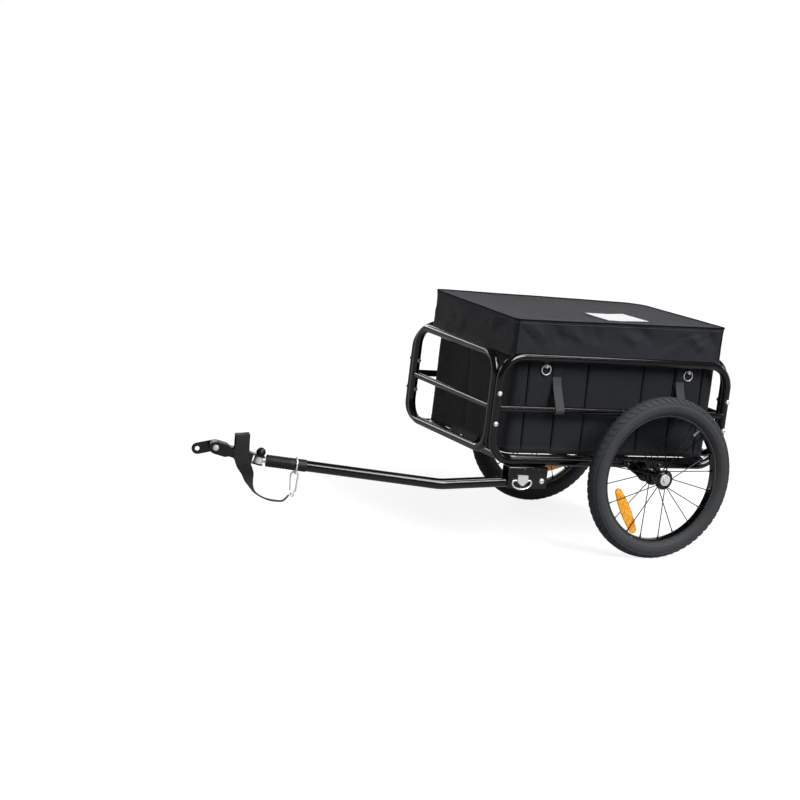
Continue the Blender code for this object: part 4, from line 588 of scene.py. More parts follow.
def lens_outline(half, width):
    """A long outline, widest in the middle, with blunt round ends."""
    tip = width * 0.60
    run = half - tip
    end = [(run + tip * math.cos(math.radians(15 * k)), tip * math.sin(math.radians(15 * k)))
           for k in range(-5, 6)]
    long_side = [(run * (1 - k / 6), width - (width - tip) * (1 - k / 6) ** 2) for k in range(1, 12)]
    return end + long_side + [(-x, -y) for x, y in end + long_side]


def slab(outline, thickness, edge=0.0, holes=()):
    """A flat plate in the XY plane, centred on it, with soft edges and holes given as (x, y, radius)."""
    curve = bpy.data.curves.new("outline", "CURVE")
    curve.dimensions = "2D"
    curve.fill_mode = "BOTH"
    curve.extrude = thickness / 2 - edge
    curve.bevel_depth = edge
    curve.bevel_resolution = 2
    curve.offset = -edge
    bores = [[(x + u, y + v) for u, v in circle(radius, 32)] for x, y, radius in holes]
    for loop in [outline] + bores:
        spline = curve.splines.new("POLY")
        spline.points.add(len(loop) - 1)
        for target, (x, y) in zip(spline.points, loop):
            target.co = (x, y, 0.0, 1.0)
        spline.use_cyclic_u = True
    bm = bmesh.new()
    bm.from_mesh(baked(linked("outline", curve)))
    return mesh_of(bm)


for side, tag in SIDES:
    stand = (Matrix.Rotation(-REFLECTOR_ANGLES[tag], 4, "Y") @ Matrix.Translation((REFLECTOR_PLACE, 0, 0))
             @ Matrix.Rotation(math.pi / 2 - REFLECTOR_TILT, 4, "Y") @ TO_Y)
    parts = [slab(lens_outline(REFLECTOR_HALF, REFLECTOR_WIDTH), REFLECTOR_DEPTH - 2 * EDGE_BEAD, 0.0012)]
    edge_loop = lens_outline(REFLECTOR_HALF - 0.0012, REFLECTOR_WIDTH - 0.0012)
    for z in (REFLECTOR_DEPTH / 2 - EDGE_BEAD, -REFLECTOR_DEPTH / 2 + EDGE_BEAD):
        loop = [Vector((x, y, z)) for x, y in edge_loop]
        parts += [rod(a, b, EDGE_BEAD, 6) for a, b in zip(loop, loop[1:] + loop[:1])]
    piece("prism_reflector_" + tag, moved(joined(parts), stand), amber, "wheel_" + tag, ["reflector_" + tag],
          HUB_PLACES[tag])

# Frame tubes: 20 mm steel tube, bent cold and powder coated. Each side is one closed loop with a mid bar welded
# in, each end is another, and a flat loop with two cross bars carries the box.
TUBE_RADIUS = 0.010
CLEARANCE = 0.0003
SIDE_Y = 0.222
LOOP_FRONT, LOOP_REAR = 0.442, -0.217
LOOP_BOTTOM, LOOP_TOP = 0.2205, 0.476
END_BOTTOM, END_TOP = 0.239, 0.475
FLOOR_FRONT, FLOOR_REAR = 0.395, -0.197
SIDE_BEND, END_BEND, FLOOR_BEND = 0.058, 0.050, 0.032
MID_BAR_Z = 0.349
MID_BAR_RADIUS, THIN_BAR_RADIUS = 0.0085, 0.008
CROSS_BARS = (0.035, 0.205)
TOUCH = 2 * TUBE_RADIUS + CLEARANCE
# The end loops stand this much before and behind the side loops, and the floor loop this much above them.
LEAD = 0.004
END_Y = FLOOR_Y = SIDE_Y - math.sqrt(TOUCH ** 2 - LEAD ** 2)
FLOOR_Z = LOOP_BOTTOM + LEAD
TAB_INSET, TAB_HALF, TAB_THICKNESS = 0.025, 0.012, 0.003
WELD_DEPTH = TUBE_RADIUS * 0.62
WELD_RADIUS, WELD_RIPPLE, WELD_STEPS = 0.0016, 0.0003, 36


def arc(x, y, radius, start, end, steps):
    """Points on an arc round a middle, from one angle to another in degrees."""
    turns = [math.radians(start + (end - start) * k / steps) for k in range(steps + 1)]
    return [(x + radius * math.cos(a), y + radius * math.sin(a)) for a in turns]


def bent_loop(x0, x1, y0, y1, radius, count=12):
    """A rectangle's line with round corners, counter-clockwise. Its last corner may have its own radius."""
    first, last = radius if isinstance(radius, tuple) else (radius, radius)
    corners = ((x1 - first, y0 + first, -90, first), (x1 - first, y1 - first, 0, first),
               (x0 + first, y1 - first, 90, first), (x0 + last, y0 + last, 180, last))
    return [point for x, y, start, r in corners for point in arc(x, y, r, start, start + 90, count)]


def band(bm, first, second):
    """Faces between two rings of corners."""
    for k in range(len(first)):
        n = (k + 1) % len(first)
        bm.faces.new((first[k], first[n], second[n], second[k]))


def tube(points, radius, sides=28, closed=False):
    """A round tube along points, its section carried along without twist. A radius may be given per point."""
    points = [Vector(p) for p in points]
    count = len(points)
    radii = radius if isinstance(radius, (list, tuple)) else [radius] * count
    bm = bmesh.new()
    rings = []
    normal = None
    for k, point in enumerate(points):
        before = points[k - 1] if k or closed else points[0]
        after = points[(k + 1) % count] if k < count - 1 or closed else points[-1]
        back, ahead = point - before, after - point
        tangent = (back.normalized() + ahead.normalized()).normalized()
        if normal is None:
            normal = tangent.orthogonal().normalized()
        normal = (normal - tangent * normal.dot(tangent)).normalized()
        other = tangent.cross(normal)
        stretch = 1.0
        if back.length > 0 and ahead.length > 0:
            stretch = 1.0 / max(0.5, math.cos(back.angle(ahead) / 2))
        bend = ahead.normalized() - back.normalized()
        ring = []
        for u, v in circle(1.0, sides):
            offset = normal * u + other * v
            if bend.length > 0.0001:
                along_bend = bend.normalized()
                offset += along_bend * (offset.dot(along_bend) * (stretch - 1.0))
            ring.append(bm.verts.new(point + offset * radii[k]))
        rings.append(ring)
    for a, b in zip(rings, rings[1:]):
        band(bm, a, b)
    if closed:
        first, last = rings[0], rings[-1]
        shift = min(range(sides), key=lambda d: (first[d].co - last[0].co).length)
        band(bm, last, first[shift:] + first[:shift])
    else:
        bm.faces.new(rings[0])
        bm.faces.new(rings[-1])
    return mesh_of(bm)


def weld_bead(point, axis, radius):
    """The ring of weld where one tube's end meets another tube, with the ripples of a hand-held torch."""
    axis = Vector(axis).normalized()
    across = axis.orthogonal().normalized()
    other = axis.cross(across)
    loop = [Vector(point) + (across * u + other * v) * radius for u, v in circle(1.0, WELD_STEPS)]
    radii = [WELD_RADIUS + WELD_RIPPLE * math.sin(24 * math.pi * k / WELD_STEPS) for k in range(WELD_STEPS)]
    return tube(loop, radii, 8, closed=True)


def welded_bar(start, end, radius):
    """A bar between the middles of two tubes, with its weld on each of them."""
    start, end = Vector(start), Vector(end)
    run = (end - start).normalized()
    welds = [weld_bead(place, run, radius + CLEARANCE) for place in (start + run * WELD_DEPTH,
                                                                     end - run * WELD_DEPTH)]
    return [tube([start, end], radius)] + welds


for side, tag in SIDES:
    y = side * SIDE_Y
    line = [(x, y, z) for x, z in bent_loop(LOOP_REAR, LOOP_FRONT, LOOP_BOTTOM, LOOP_TOP, SIDE_BEND)]
    parts = [tube(line, TUBE_RADIUS, closed=True)]
    parts += welded_bar((LOOP_REAR, y, MID_BAR_Z), (LOOP_FRONT, y, MID_BAR_Z), MID_BAR_RADIUS)
    low, high = sorted((side * (FLOOR_Y - 0.012), side * (SIDE_Y - 0.003)))
    for x in (FLOOR_FRONT - TAB_INSET, FLOOR_REAR + TAB_INSET):
        tab = slab(bent_loop(x - TAB_HALF, x + TAB_HALF, low, high, 0.002, 3), TAB_THICKNESS, 0.0004)
        tab_z = FLOOR_Z - TUBE_RADIUS - TAB_THICKNESS / 2 - CLEARANCE
        parts.append(moved(tab, Matrix.Translation((0, 0, tab_z))))
    piece("side_loop_" + tag, joined(parts), powder_coat, "frame", ["side_frame_" + tag])
for x, tag in ((LOOP_FRONT + LEAD, "front"), (LOOP_REAR - LEAD, "rear")):
    line = [(x, y, z) for y, z in bent_loop(-END_Y, END_Y, END_BOTTOM, END_TOP, END_BEND)]
    parts = [tube(line, TUBE_RADIUS, closed=True)]
    parts += welded_bar((x, -END_Y, MID_BAR_Z), (x, END_Y, MID_BAR_Z), THIN_BAR_RADIUS)
    piece("end_loop_" + tag, joined(parts), powder_coat, "frame", [tag + "_frame"])
line = [(x, y, FLOOR_Z) for x, y in bent_loop(FLOOR_REAR, FLOOR_FRONT, -FLOOR_Y, FLOOR_Y, FLOOR_BEND)]
parts = [tube(line, TUBE_RADIUS, closed=True)]
for x in CROSS_BARS:
    parts += welded_bar((x, -FLOOR_Y, FLOOR_Z), (x, FLOOR_Y, FLOOR_Z), THIN_BAR_RADIUS)
piece("floor_loop", joined(parts), powder_coat, "frame", ["floor_frame"])

# Corner bolts: eight zinc plated button-head bolts, each on a thin washer, through the side loop and the end
# loop, with a nut inside.
BOLT_SPREAD = 0.074
BOLT_HEAD, BOLT_DOME, BOLT_RADIUS = 0.0062, 0.0035, 0.0025
NUT_RADIUS, NUT_HEIGHT = 0.0055, 0.0035


def button_bolt(head_radius, head_height, grip, radius):
    """A domed bolt along Z with a hexagon socket sunk in its head, on its washer."""
    socket = head_radius * 0.42
    profile = [(0.0, head_height * 0.35), (socket, head_height * 0.35), (socket, head_height * 0.98),
               (socket + 0.0003, head_height), (head_radius * 0.72, head_height * 0.82),
               (head_radius * 0.92, head_height * 0.45), (head_radius * 0.95, 0.0004),
               (head_radius, 0.0004), (head_radius, 0.0), (radius, 0.0), (radius, -grip), (0.0, -grip)]
    return turned(profile, 36)


tube_face = math.sqrt(TUBE_RADIUS ** 2 - (LEAD / 2) ** 2) + CLEARANCE
seat = SIDE_Y + tube_face
grip = seat - END_Y + tube_face
nut_profile = [(0.0, -grip - NUT_HEIGHT), (NUT_RADIUS - 0.0006, -grip - NUT_HEIGHT),
               (NUT_RADIUS, -grip - NUT_HEIGHT + 0.0005), (NUT_RADIUS, -grip), (0.0, -grip)]
for side, tag in SIDES:
    for x, end in ((LOOP_FRONT + LEAD / 2, "front"), (LOOP_REAR - LEAD / 2, "rear")):
        for half, height in ((1, "upper"), (-1, "lower")):
            bolt = joined([button_bolt(BOLT_HEAD, BOLT_DOME, grip + 0.004, BOLT_RADIUS), turned(nut_profile, 6)])
            place = Matrix.Translation((x, side * seat, MID_BAR_Z + half * BOLT_SPREAD / 2)) @ outwards(side)
            name = end + "_" + tag + "_" + height
            piece("button_bolt_" + name, moved(bolt, place), zinc, "frame", ["corner_bolt_" + name])

# Axle plates: 4 mm steel plate bolted to the side tube, with the welded sleeve that the axle locks into.
PLATE_THICKNESS = 0.004
PLATE_Y = SIDE_Y + TUBE_RADIUS + CLEARANCE + PLATE_THICKNESS / 2
PLATE_REAR, PLATE_FRONT = -0.048, 0.068
PLATE_LOW, PLATE_HIGH = 0.2195, 0.2315
BOSS_RADIUS = 0.024
SLEEVE_BORE, SLEEVE_RADIUS = 0.0056, 0.0072
SLEEVE_START, SLEEVE_END = 0.205, 0.2625
plate_outline = [(PLATE_REAR, PLATE_HIGH), (PLATE_REAR, PLATE_LOW)]
plate_outline += arc(0.0, TYRE_RADIUS, BOSS_RADIUS, -150, -30, 20)
plate_outline += [(PLATE_FRONT, PLATE_LOW), (PLATE_FRONT, PLATE_HIGH)]
for side, tag in SIDES:
    plate = slab(plate_outline, PLATE_THICKNESS, 0.0006, [(0.0, TYRE_RADIUS, SLEEVE_BORE)])
    sleeve = turned([(SLEEVE_BORE, SLEEVE_START), (SLEEVE_RADIUS, SLEEVE_START), (SLEEVE_RADIUS, SLEEVE_END),
                     (SLEEVE_BORE, SLEEVE_END)], 40, ring=True)
    parts = [moved(plate, Matrix.Translation((0, side * PLATE_Y, 0)) @ TO_Y),
             moved(sleeve, Matrix.Translation((0, 0, TYRE_RADIUS)) @ outwards(side))]
    for y in (PLATE_Y - 0.0022, PLATE_Y + 0.0022):
        parts.append(weld_bead((0, side * y, TYRE_RADIUS), (0, 1, 0), SLEEVE_RADIUS + 0.0005))
    for x in (PLATE_REAR + 0.012, PLATE_FRONT - 0.012):
        place = Matrix.Translation((x, side * (PLATE_Y + PLATE_THICKNESS / 2), LOOP_BOTTOM)) @ outwards(side)
        parts.append(moved(button_bolt(BOLT_HEAD, BOLT_DOME, 0.002, BOLT_RADIUS), place))
    piece("axle_bracket_" + tag, joined(parts), powder_coat, "frame", ["axle_plate_" + tag])

# The drawbar's bracket: a U of folded sheet steel riveted under the left side tube. A plated bolt is the
# drawbar's pivot, and a plated pin with a wire ring locks the drawbar in line.
DRAWBAR_RADIUS = 0.0130
PIVOT = Vector((0.2998, SIDE_Y, 0.1752))
BRACKET_HALF = DRAWBAR_RADIUS + 0.0008
BRACKET_WALL = 0.0025
BRACKET_REAR, BRACKET_FRONT = 0.2855, 0.394
BRACKET_TOP, BRACKET_BOTTOM = 0.2102, 0.157
OUTER_FOLD = 0.004
INNER_FOLD = OUTER_FOLD - BRACKET_WALL + 0.0005
RIVET_Z = 0.2020
outer_half = BRACKET_HALF + BRACKET_WALL
outer_top, inner_top = BRACKET_TOP - OUTER_FOLD, BRACKET_TOP - BRACKET_WALL - INNER_FOLD
u_shape = [(outer_half, BRACKET_BOTTOM)]
u_shape += arc(outer_half - OUTER_FOLD, outer_top, OUTER_FOLD, 0, 90, 5)
u_shape += arc(OUTER_FOLD - outer_half, outer_top, OUTER_FOLD, 90, 180, 5)
u_shape += [(-outer_half, BRACKET_BOTTOM), (-BRACKET_HALF, BRACKET_BOTTOM)]
u_shape += arc(INNER_FOLD - BRACKET_HALF, inner_top, INNER_FOLD, 180, 90, 4)
u_shape += arc(BRACKET_HALF - INNER_FOLD, inner_top, INNER_FOLD, 90, 0, 4)
u_shape += [(BRACKET_HALF, BRACKET_BOTTOM)]
lengthwise = Matrix(((0, 0, 1, 0), (1, 0, 0, 0), (0, 1, 0, 0), (0, 0, 0, 1)))
place = Matrix.Translation(((BRACKET_REAR + BRACKET_FRONT) / 2, SIDE_Y, 0)) @ lengthwise
parts = [moved(slab(u_shape, BRACKET_FRONT - BRACKET_REAR, 0.0004), place)]
rivet = turned([(0.0, 0.0018), (0.0020, 0.0015), (0.0035, 0.0), (0.0, 0.0)], 24)
for x in (0.3105, 0.3255, 0.350):
    for face in (1, -1):
        place = Matrix.Translation((x, SIDE_Y + face * outer_half, RIVET_Z)) @ outwards(face)
        parts.append(moved(rivet, place))
piece("folded_bracket", joined(parts), powder_coat, "frame", ["drawbar_bracket"])
face = outer_half + CLEARANCE
bolt = button_bolt(0.0068, BOLT_DOME, 2 * face + 0.005, 0.004)
nut = turned([(0.0042, -0.0045), (0.0072, -0.0045), (0.0075, -0.0040), (0.0075, 0.0), (0.0042, 0.0)], 6,
             ring=True)
pivot_parts = [moved(shape, Matrix.Translation((0, y, 0)) @ outwards(1))
               for shape, y in ((bolt, face), (nut, -face))]
piece("pivot_bolt_with_nut", joined(pivot_parts), zinc, "frame", ["pivot_bolt"],
      GROUND @ Matrix.Translation(PIVOT))
finished(zinc, "lock_pin", "flip_ring")

# The drawbar: 26 mm steel tube with one bend, powder coated. A rubber sleeve with eight grooves covers its front
# end, and a plated steel tongue stands out of it.
BEND = Vector((0.5695, SIDE_Y, 0.161))
BEND_RADIUS = 0.090
TURN_IN, RISE = math.radians(16.8), math.radians(2.9)
FRONT_PART = Matrix.Translation(BEND) @ Matrix.Rotation(-TURN_IN, 4, "Z") @ Matrix.Rotation(-RISE, 4, "Y")
FRONT_LENGTH = 0.390
GRIP_RADIUS, GROOVE_RADIUS = 0.0145, 0.0137


def bent_line(start, corner, end, radius, count):
    """A line from start to end whose corner is an arc."""
    back, ahead = (start - corner).normalized(), (end - corner).normalized()
    half = back.angle(ahead) / 2
    trim = radius / math.tan(half)
    centre = corner + (back + ahead).normalized() * (radius / math.sin(half))
    first, last = corner + back * trim - centre, corner + ahead * trim - centre
    axis = first.cross(last).normalized()
    sweep = first.angle(last)
    bend = [centre + Matrix.Rotation(sweep * k / (count - 1), 3, axis) @ first for k in range(count)]
    return [start] + bend + [end]


tail = PIVOT - (BEND - PIVOT).normalized() * DRAWBAR_RADIUS
line = bent_line(tail, BEND, FRONT_PART @ Vector((FRONT_LENGTH, 0, 0)), BEND_RADIUS, 20)
piece("bent_drawbar", tube(line, DRAWBAR_RADIUS, 36), powder_coat, "drawbar", ["drawbar"])
sleeve_profile = [(0.0065, 0.421), (0.0128, 0.421), (0.0142, 0.4200), (GRIP_RADIUS, 0.4185)]
for k in range(8):
    s = 0.4140 - 0.0065 * k
    sleeve_profile += [(GRIP_RADIUS, s + 0.0008), (GROOVE_RADIUS, s), (GROOVE_RADIUS, s - 0.0012),
                       (GRIP_RADIUS, s - 0.0020)]
sleeve_profile += [(GRIP_RADIUS, 0.327), (0.0138, 0.325), (0.0133, 0.325), (0.0133, 0.3903), (0.0065, 0.3903)]
sleeve = moved(turned(sleeve_profile, 56, ring=True), Matrix.Rotation(math.pi / 2, 4, "Y"))
piece("rubber_sleeve", sleeve, soft_rubber, "drawbar", ["drawbar_sleeve"], GROUND @ FRONT_PART)
finished(zinc, "hitch_tongue")

# The hitch: a painted steel yoke that swings on the tongue, its pin with a ball knob, and a coupler that turns on
# the yoke's stud and carries the plate for a bicycle's axle.
HITCH_PIN = 0.4385
YOKE_RISE = math.radians(9)
HITCH = FRONT_PART @ Matrix.Translation((HITCH_PIN, 0, 0)) @ Matrix.Rotation(-YOKE_RISE, 4, "Y")
# Black nylon: satin moulding with a fine spark-eroded texture.
nylon = surface("black_moulded_nylon", "black_plastic", "#0a0b0c", "#101112", 0.36, patch_mm=20.0, grain_mm=0.7,
                grain_depth_mm=0.03)
finished(powder_coat, "hitch_yoke", "mounting_plate")
finished(zinc, "coupler_bolt")
finished(nylon, "coupler_body", "hitch_pin")

# The safety strap: grey-black webbing. Its loop stands round the yoke, and its tail hangs from there to a snap
# hook on the wire ring round the sleeve.
webbing_grey = surface("woven_polypropylene_webbing", "grey_webbing", "#202224", "#191b1d", 0.85, patch_mm=9.0,
                       grain_mm=1.1, grain_depth_mm=0.2, Sheen_Weight=0.1)
finished(zinc, "strap_ring", "snap_hook", "snap_hook_gate")
STRAP_THICKNESS = 0.0020
STRAP_WIDTH = 0.034
STRAP_GAP = 0.0015
YOKE_HALF, YOKE_DEPTH = 0.013, 0.0165 / 2 + 0.0004 + 0.003
LOOP_HIGH = 0.047


def strap(stations, thickness, closed=False, ribs=6):
    """A flat woven strap through stations of (centre, vector across its width), rounded at its edges."""
    bm = bmesh.new()
    rows = []
    count = len(stations)
    section = [(k / ribs - 0.5, 0.5 if k not in (0, ribs) else 0.2) for k in range(ribs + 1)]
    section += [(u, -v) for u, v in reversed(section)]
    for i, (centre, across) in enumerate(stations):
        before = Vector(stations[(i - 1) % count if closed else max(i - 1, 0)][0])
        after = Vector(stations[(i + 1) % count if closed else min(i + 1, count - 1)][0])
        tangent = (after - before).normalized()
        across = Vector(across)
        wide = (across - tangent * across.dot(tangent)).normalized() * across.length
        normal = tangent.cross(wide).normalized() * thickness
        rows.append([bm.verts.new(Vector(centre) + wide * u + normal * v) for u, v in section])
    for a, b in zip(rows, rows[1:]):
        band(bm, a, b)
    if closed:
        band(bm, rows[-1], rows[0])
    else:
        bm.faces.new(rows[0])
        bm.faces.new(rows[-1])
    return mesh_of(bm, 50)


def smoothed(rows, steps):
    """Stations of a strap, with steps more of them drawn smoothly between each two."""
    flat = [np.array([*centre, *across], float) for centre, across in rows]
    out = []
    for i in range(len(flat) - 1):
        p0, p1, p2, p3 = flat[max(i - 1, 0)], flat[i], flat[i + 1], flat[min(i + 2, len(flat) - 1)]
        for k in range(steps):
            t = k / steps
            point = 0.5 * (2 * p1 + (p2 - p0) * t + (2 * p0 - 5 * p1 + 4 * p2 - p3) * t * t
                           + (3 * p1 - p0 - 3 * p2 + p3) * t ** 3)
            out.append((Vector(point[:3]), Vector(point[3:])))
    out.append((Vector(flat[-1][:3]), Vector(flat[-1][3:])))
    return out


loop_half = YOKE_HALF + STRAP_GAP + STRAP_THICKNESS / 2
loop_low = -YOKE_DEPTH - STRAP_GAP - STRAP_THICKNESS / 2
loop_stations = []
for y, z in bent_loop(-loop_half, loop_half, loop_low, LOOP_HIGH, 0.004, 4):
    lean = min(1.0, max(0.0, z / LOOP_HIGH))
    across = (STRAP_WIDTH - 0.002 * lean, 0.008 * lean, -0.010 * lean)
    loop_stations.append(((0.040 + 0.015 * lean, y, z), across))
piece("strap_loop", strap(loop_stations, STRAP_THICKNESS, closed=True), webbing_grey, "yoke",
      ["safety_strap_loop"], GROUND @ HITCH)
# The tail's stations: (place along the drawbar, height), direction across the webbing, and width.
TAIL_ROUTE = (
    ((0.4880, 0.0240), (1.00, 0.00), 0.034), ((0.4825, 0.0050), (1.00, 0.00), 0.034),
    ((0.4750, -0.0110), (1.00, 0.00), 0.034), ((0.4675, -0.0225), (1.00, 0.00), 0.032),
    ((0.4612, -0.0320), (1.00, 0.00), 0.029), ((0.4560, -0.0430), (0.95, 0.30), 0.026),
    ((0.4502, -0.0545), (0.75, 0.66), 0.024), ((0.4440, -0.0665), (0.45, 0.89), 0.024),
    ((0.4350, -0.0780), (0.20, 0.98), 0.023), ((0.4190, -0.0868), (0.00, 1.00), 0.022),
    ((0.4010, -0.0915), (0.00, 1.00), 0.022), ((0.3830, -0.0922), (0.00, 1.00), 0.020),
    ((0.3660, -0.0895), (0.00, 1.00), 0.017))
tail_rows = [((s, 0.0185 * min(1.0, max(0.0, (z + 0.058) / 0.045)), z), Vector((ax, ay, 0)).normalized() * width)
             for (s, z), (ax, ay), width in TAIL_ROUTE]
tail_rows.append(((0.3545, 0.0, -0.0745), (0.0, 0.014, 0.0)))
tail_mesh = strap(smoothed(tail_rows, 5), STRAP_THICKNESS)
tail_mesh.transform(GROUND @ FRONT_PART)
tail_mesh.materials.append(webbing_grey)
strap_tail = linked("strap_tail", tail_mesh)
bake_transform(strap_tail)
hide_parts("safety_strap_tail")

# The box: coated polyester cloth over stiff panels that sit in sewn pockets, so that upright seams part its
# sides into flat fields. Near-black cords laid along the seams draw them as dark lines. Its hem stands on the
# floor loop.
BOX_FRONT, BOX_REAR, BOX_HALF = 0.388, -0.196, 0.196
BOX_BOTTOM = FLOOR_Z + TUBE_RADIUS + CLEARANCE
BOX_TOP = 0.5537
BOX_CORNER = 0.020
BOX_SKEW = 0.006
SIDE_SEAMS = (-0.159, -0.0745, 0.018, 0.179, 0.2635, 0.348)
SEAM_LEAN = 0.025
SEAM_MIDDLE = 0.355
SEAM_LINE_LOW, SEAM_LINE_HIGH = 0.2400, 0.545
random.seed(7)


def cloth(name, colour, tint, thread_mm, roughness=0.60):
    """Coated cloth: a plain weave read along and across from the UV map in metres, under a thin soft coat."""
    made = surface(name, "coated_polyester", colour, tint, roughness, patch_mm=55.0, grain_mm=1.6,
                   grain_depth_mm=0.05, Sheen_Weight=0.05, Specular_IOR_Level=0.16)
    tree = made.node_tree
    shader = tree.nodes["Principled BSDF"]
    uv = add(tree, "ShaderNodeTexCoord").outputs["UV"]
    period = 0.314159 / (thread_mm / 1000)
    warp, weft = (add(tree, "ShaderNodeTexWave", {"Vector": uv, "Scale": period, "Distortion": 0.6},
                      bands_direction=along) for along in ("X", "Y"))
    both = add(tree, "ShaderNodeMath", {0: warp.outputs["Fac"], 1: weft.outputs["Fac"]}, operation="MULTIPLY")
    old = shader.inputs["Normal"].links[0].from_socket
    bump = add(tree, "ShaderNodeBump", {"Height": both.outputs[0], "Distance": thread_mm * 0.0002, "Normal": old})
    tree.links.new(bump.outputs[0], shader.inputs["Normal"])
    return made


# 600 denier polyester with a waterproof coat. Its threads are 0.5 mm and are drawn at 1.5 mm so that they show.
oxford = cloth("coated_polyester_oxford", "#272a2e", "#202327", 1.5)
# Near-black dull cloth for the cords that draw the box's seams and corners as dark lines, and the cover's edges.
near_black_cord = surface("near_black_cord_cloth", "coated_polyester", "#050506", "#08090a", 0.8, patch_mm=12.0,
                  grain_mm=1.0, grain_depth_mm=0.08, Specular_IOR_Level=0.15)


def outline_walk(x0, x1, y0, y1, radius, spacing):
    """Points round a rectangle with round corners: place, outward direction and distance walked."""
    base = bent_loop(x0, x1, y0, y1, radius, 8)
    places, total = [], 0.0
    for (ax, ay), (bx, by) in zip(base, base[1:] + base[:1]):
        length = math.hypot(bx - ax, by - ay)
        steps = max(1, int(round(length / spacing)))
        for k in range(steps):
            share = k / steps
            places.append((ax + (bx - ax) * share, ay + (by - ay) * share, total + length * share))
        total += length
    out = []
    for k, (x, y, distance) in enumerate(places):
        (px, py, _), (qx, qy, _) = places[k - 1], places[(k + 1) % len(places)]
        size = math.hypot(qx - px, qy - py)
        out.append((x, y, (qy - py) / size, (px - qx) / size, distance))
    return out


def seam_push(value, seams, width=0.0024, depth=0.0042):
    """How far the cloth is drawn in at the nearest seam, and how far it stands out between two."""
    nearest = min(abs(value - s) for s in seams)
    return 0.0010 * (1.0 - math.exp(-(nearest / 0.018) ** 2)) - depth * math.exp(-(nearest / width) ** 2)


def skewed(x, y, middle, reach, half, amount):
    """The front face stands askew: it leads by the given amount at its right end, by nothing at its left."""
    return x + amount * (0.5 - y / (2 * half)) * max(0.0, (x - middle) / reach)


def skinned(rows, uvs):
    """A mesh over rings of points, shut over its last ring. Its UV map is in metres: each ring's own row of it,
    and above the last such row the plan."""
    bm = bmesh.new()
    layer = bm.loops.layers.uv.new("UVMap")
    verts = [[bm.verts.new(p) for p in row] for row in rows]
    count = len(rows[0])
    span = uvs[0][-1][0] + (uvs[0][1][0] - uvs[0][0][0])
    for i, (low, high) in enumerate(zip(verts, verts[1:])):
        for k in range(count):
            n = (k + 1) % count
            made = bm.faces.new((low[k], low[n], high[n], high[k]))
            spots = [corner.vert.co.xy for corner in made.loops]
            if i + 1 < len(uvs):
                a, b = uvs[i], uvs[i + 1]
                spots = (a[k], (a[n][0] if n else span, a[n][1]), (b[n][0] if n else span, b[n][1]), b[k])
            for corner, spot in zip(made.loops, spots):
                corner[layer].uv = spot
    for corner in bm.faces.new(verts[-1]).loops:
        corner[layer].uv = corner.vert.co.xy
    return bm


def solidified(bm, wall):
    """The surface given a wall on its inner side, as a plain mesh."""
    bmesh.ops.recalc_face_normals(bm, faces=bm.faces)
    mesh = bpy.data.meshes.new("skin")
    bm.to_mesh(mesh)
    bm.free()
    centre = sum((v.co for v in mesh.vertices), Vector()) / len(mesh.vertices)
    outward = sum(f.area * f.normal.dot(f.center - centre) for f in mesh.polygons) > 0
    host = linked("skin", mesh)
    modifier = host.modifiers.new("wall", "SOLIDIFY")
    modifier.thickness = wall
    modifier.offset = -1.0 if outward else 1.0
    return softened(baked(host), 60)


walk = outline_walk(BOX_REAR, BOX_FRONT, -BOX_HALF, BOX_HALF, BOX_CORNER, 0.0028)
box_middle, box_reach = (BOX_FRONT + BOX_REAR) / 2, (BOX_FRONT - BOX_REAR) / 2
rows, uvs = [], []
levels = [BOX_TOP - (BOX_TOP - BOX_BOTTOM) * k / 32 for k in range(32)]
levels += [BOX_BOTTOM + 0.014, BOX_BOTTOM + 0.0125, BOX_BOTTOM + 0.002, BOX_BOTTOM]
for z in sorted(levels, reverse=True):
    row = []
    up = (z - BOX_BOTTOM) / (BOX_TOP - BOX_BOTTOM)
    for x, y, nx, ny, distance in walk:
        if abs(ny) > 0.7:
            push = seam_push(x - SEAM_LEAN * (z - SEAM_MIDDLE), SIDE_SEAMS)
        else:
            push = seam_push(y + 0.02 + 0.10 * (z - SEAM_MIDDLE), (0.0,), 0.005, 0.0012)
        hem = 0.0009 if z < BOX_BOTTOM + 0.013 else 0.0
        fold = (0.0011 * noise.noise(Vector((x * 12, y * 12, z * 8 + 3)))
                + 0.0005 * noise.noise(Vector((x * 40, y * 40, z * 26))))
        inset = 0.0015 if z <= BOX_BOTTOM + 0.0001 else 0.0
        push = push * min(1.0, up * 14) + hem + fold - inset
        row.append((skewed(x, y, box_middle, box_reach, BOX_HALF, BOX_SKEW) + nx * push, y + ny * push, z))
    rows.append(row)
    uvs.append([(distance, z) for *_, distance in walk])
box = piece("fabric_box_shell", solidified(skinned(rows, uvs), 0.0035), oxford, "frame", ["fabric_box"])
# Near-black cords along each seam and box corner draw them as dark lines.
seam_dark_lines = []
for side in (1, -1):
    for seam in SIDE_SEAMS:
        line = [(seam + SEAM_LEAN * (z - SEAM_MIDDLE), side * (BOX_HALF - 0.0016), z)
                for z in (SEAM_LINE_LOW, 0.30, 0.36, 0.42, 0.48, SEAM_LINE_HIGH)]
        seam_dark_lines.append(tube(line, 0.0016, 8))
    for x in (BOX_FRONT - BOX_CORNER, BOX_REAR + BOX_CORNER):
        line = [(x, side * (BOX_HALF + 0.0002), z) for z in (SEAM_LINE_LOW, 0.35, 0.45, SEAM_LINE_HIGH)]
        seam_dark_lines.append(tube(line, 0.0008, 6))
piece("seam_bindings", joined(seam_dark_lines), near_black_cord, "frame")

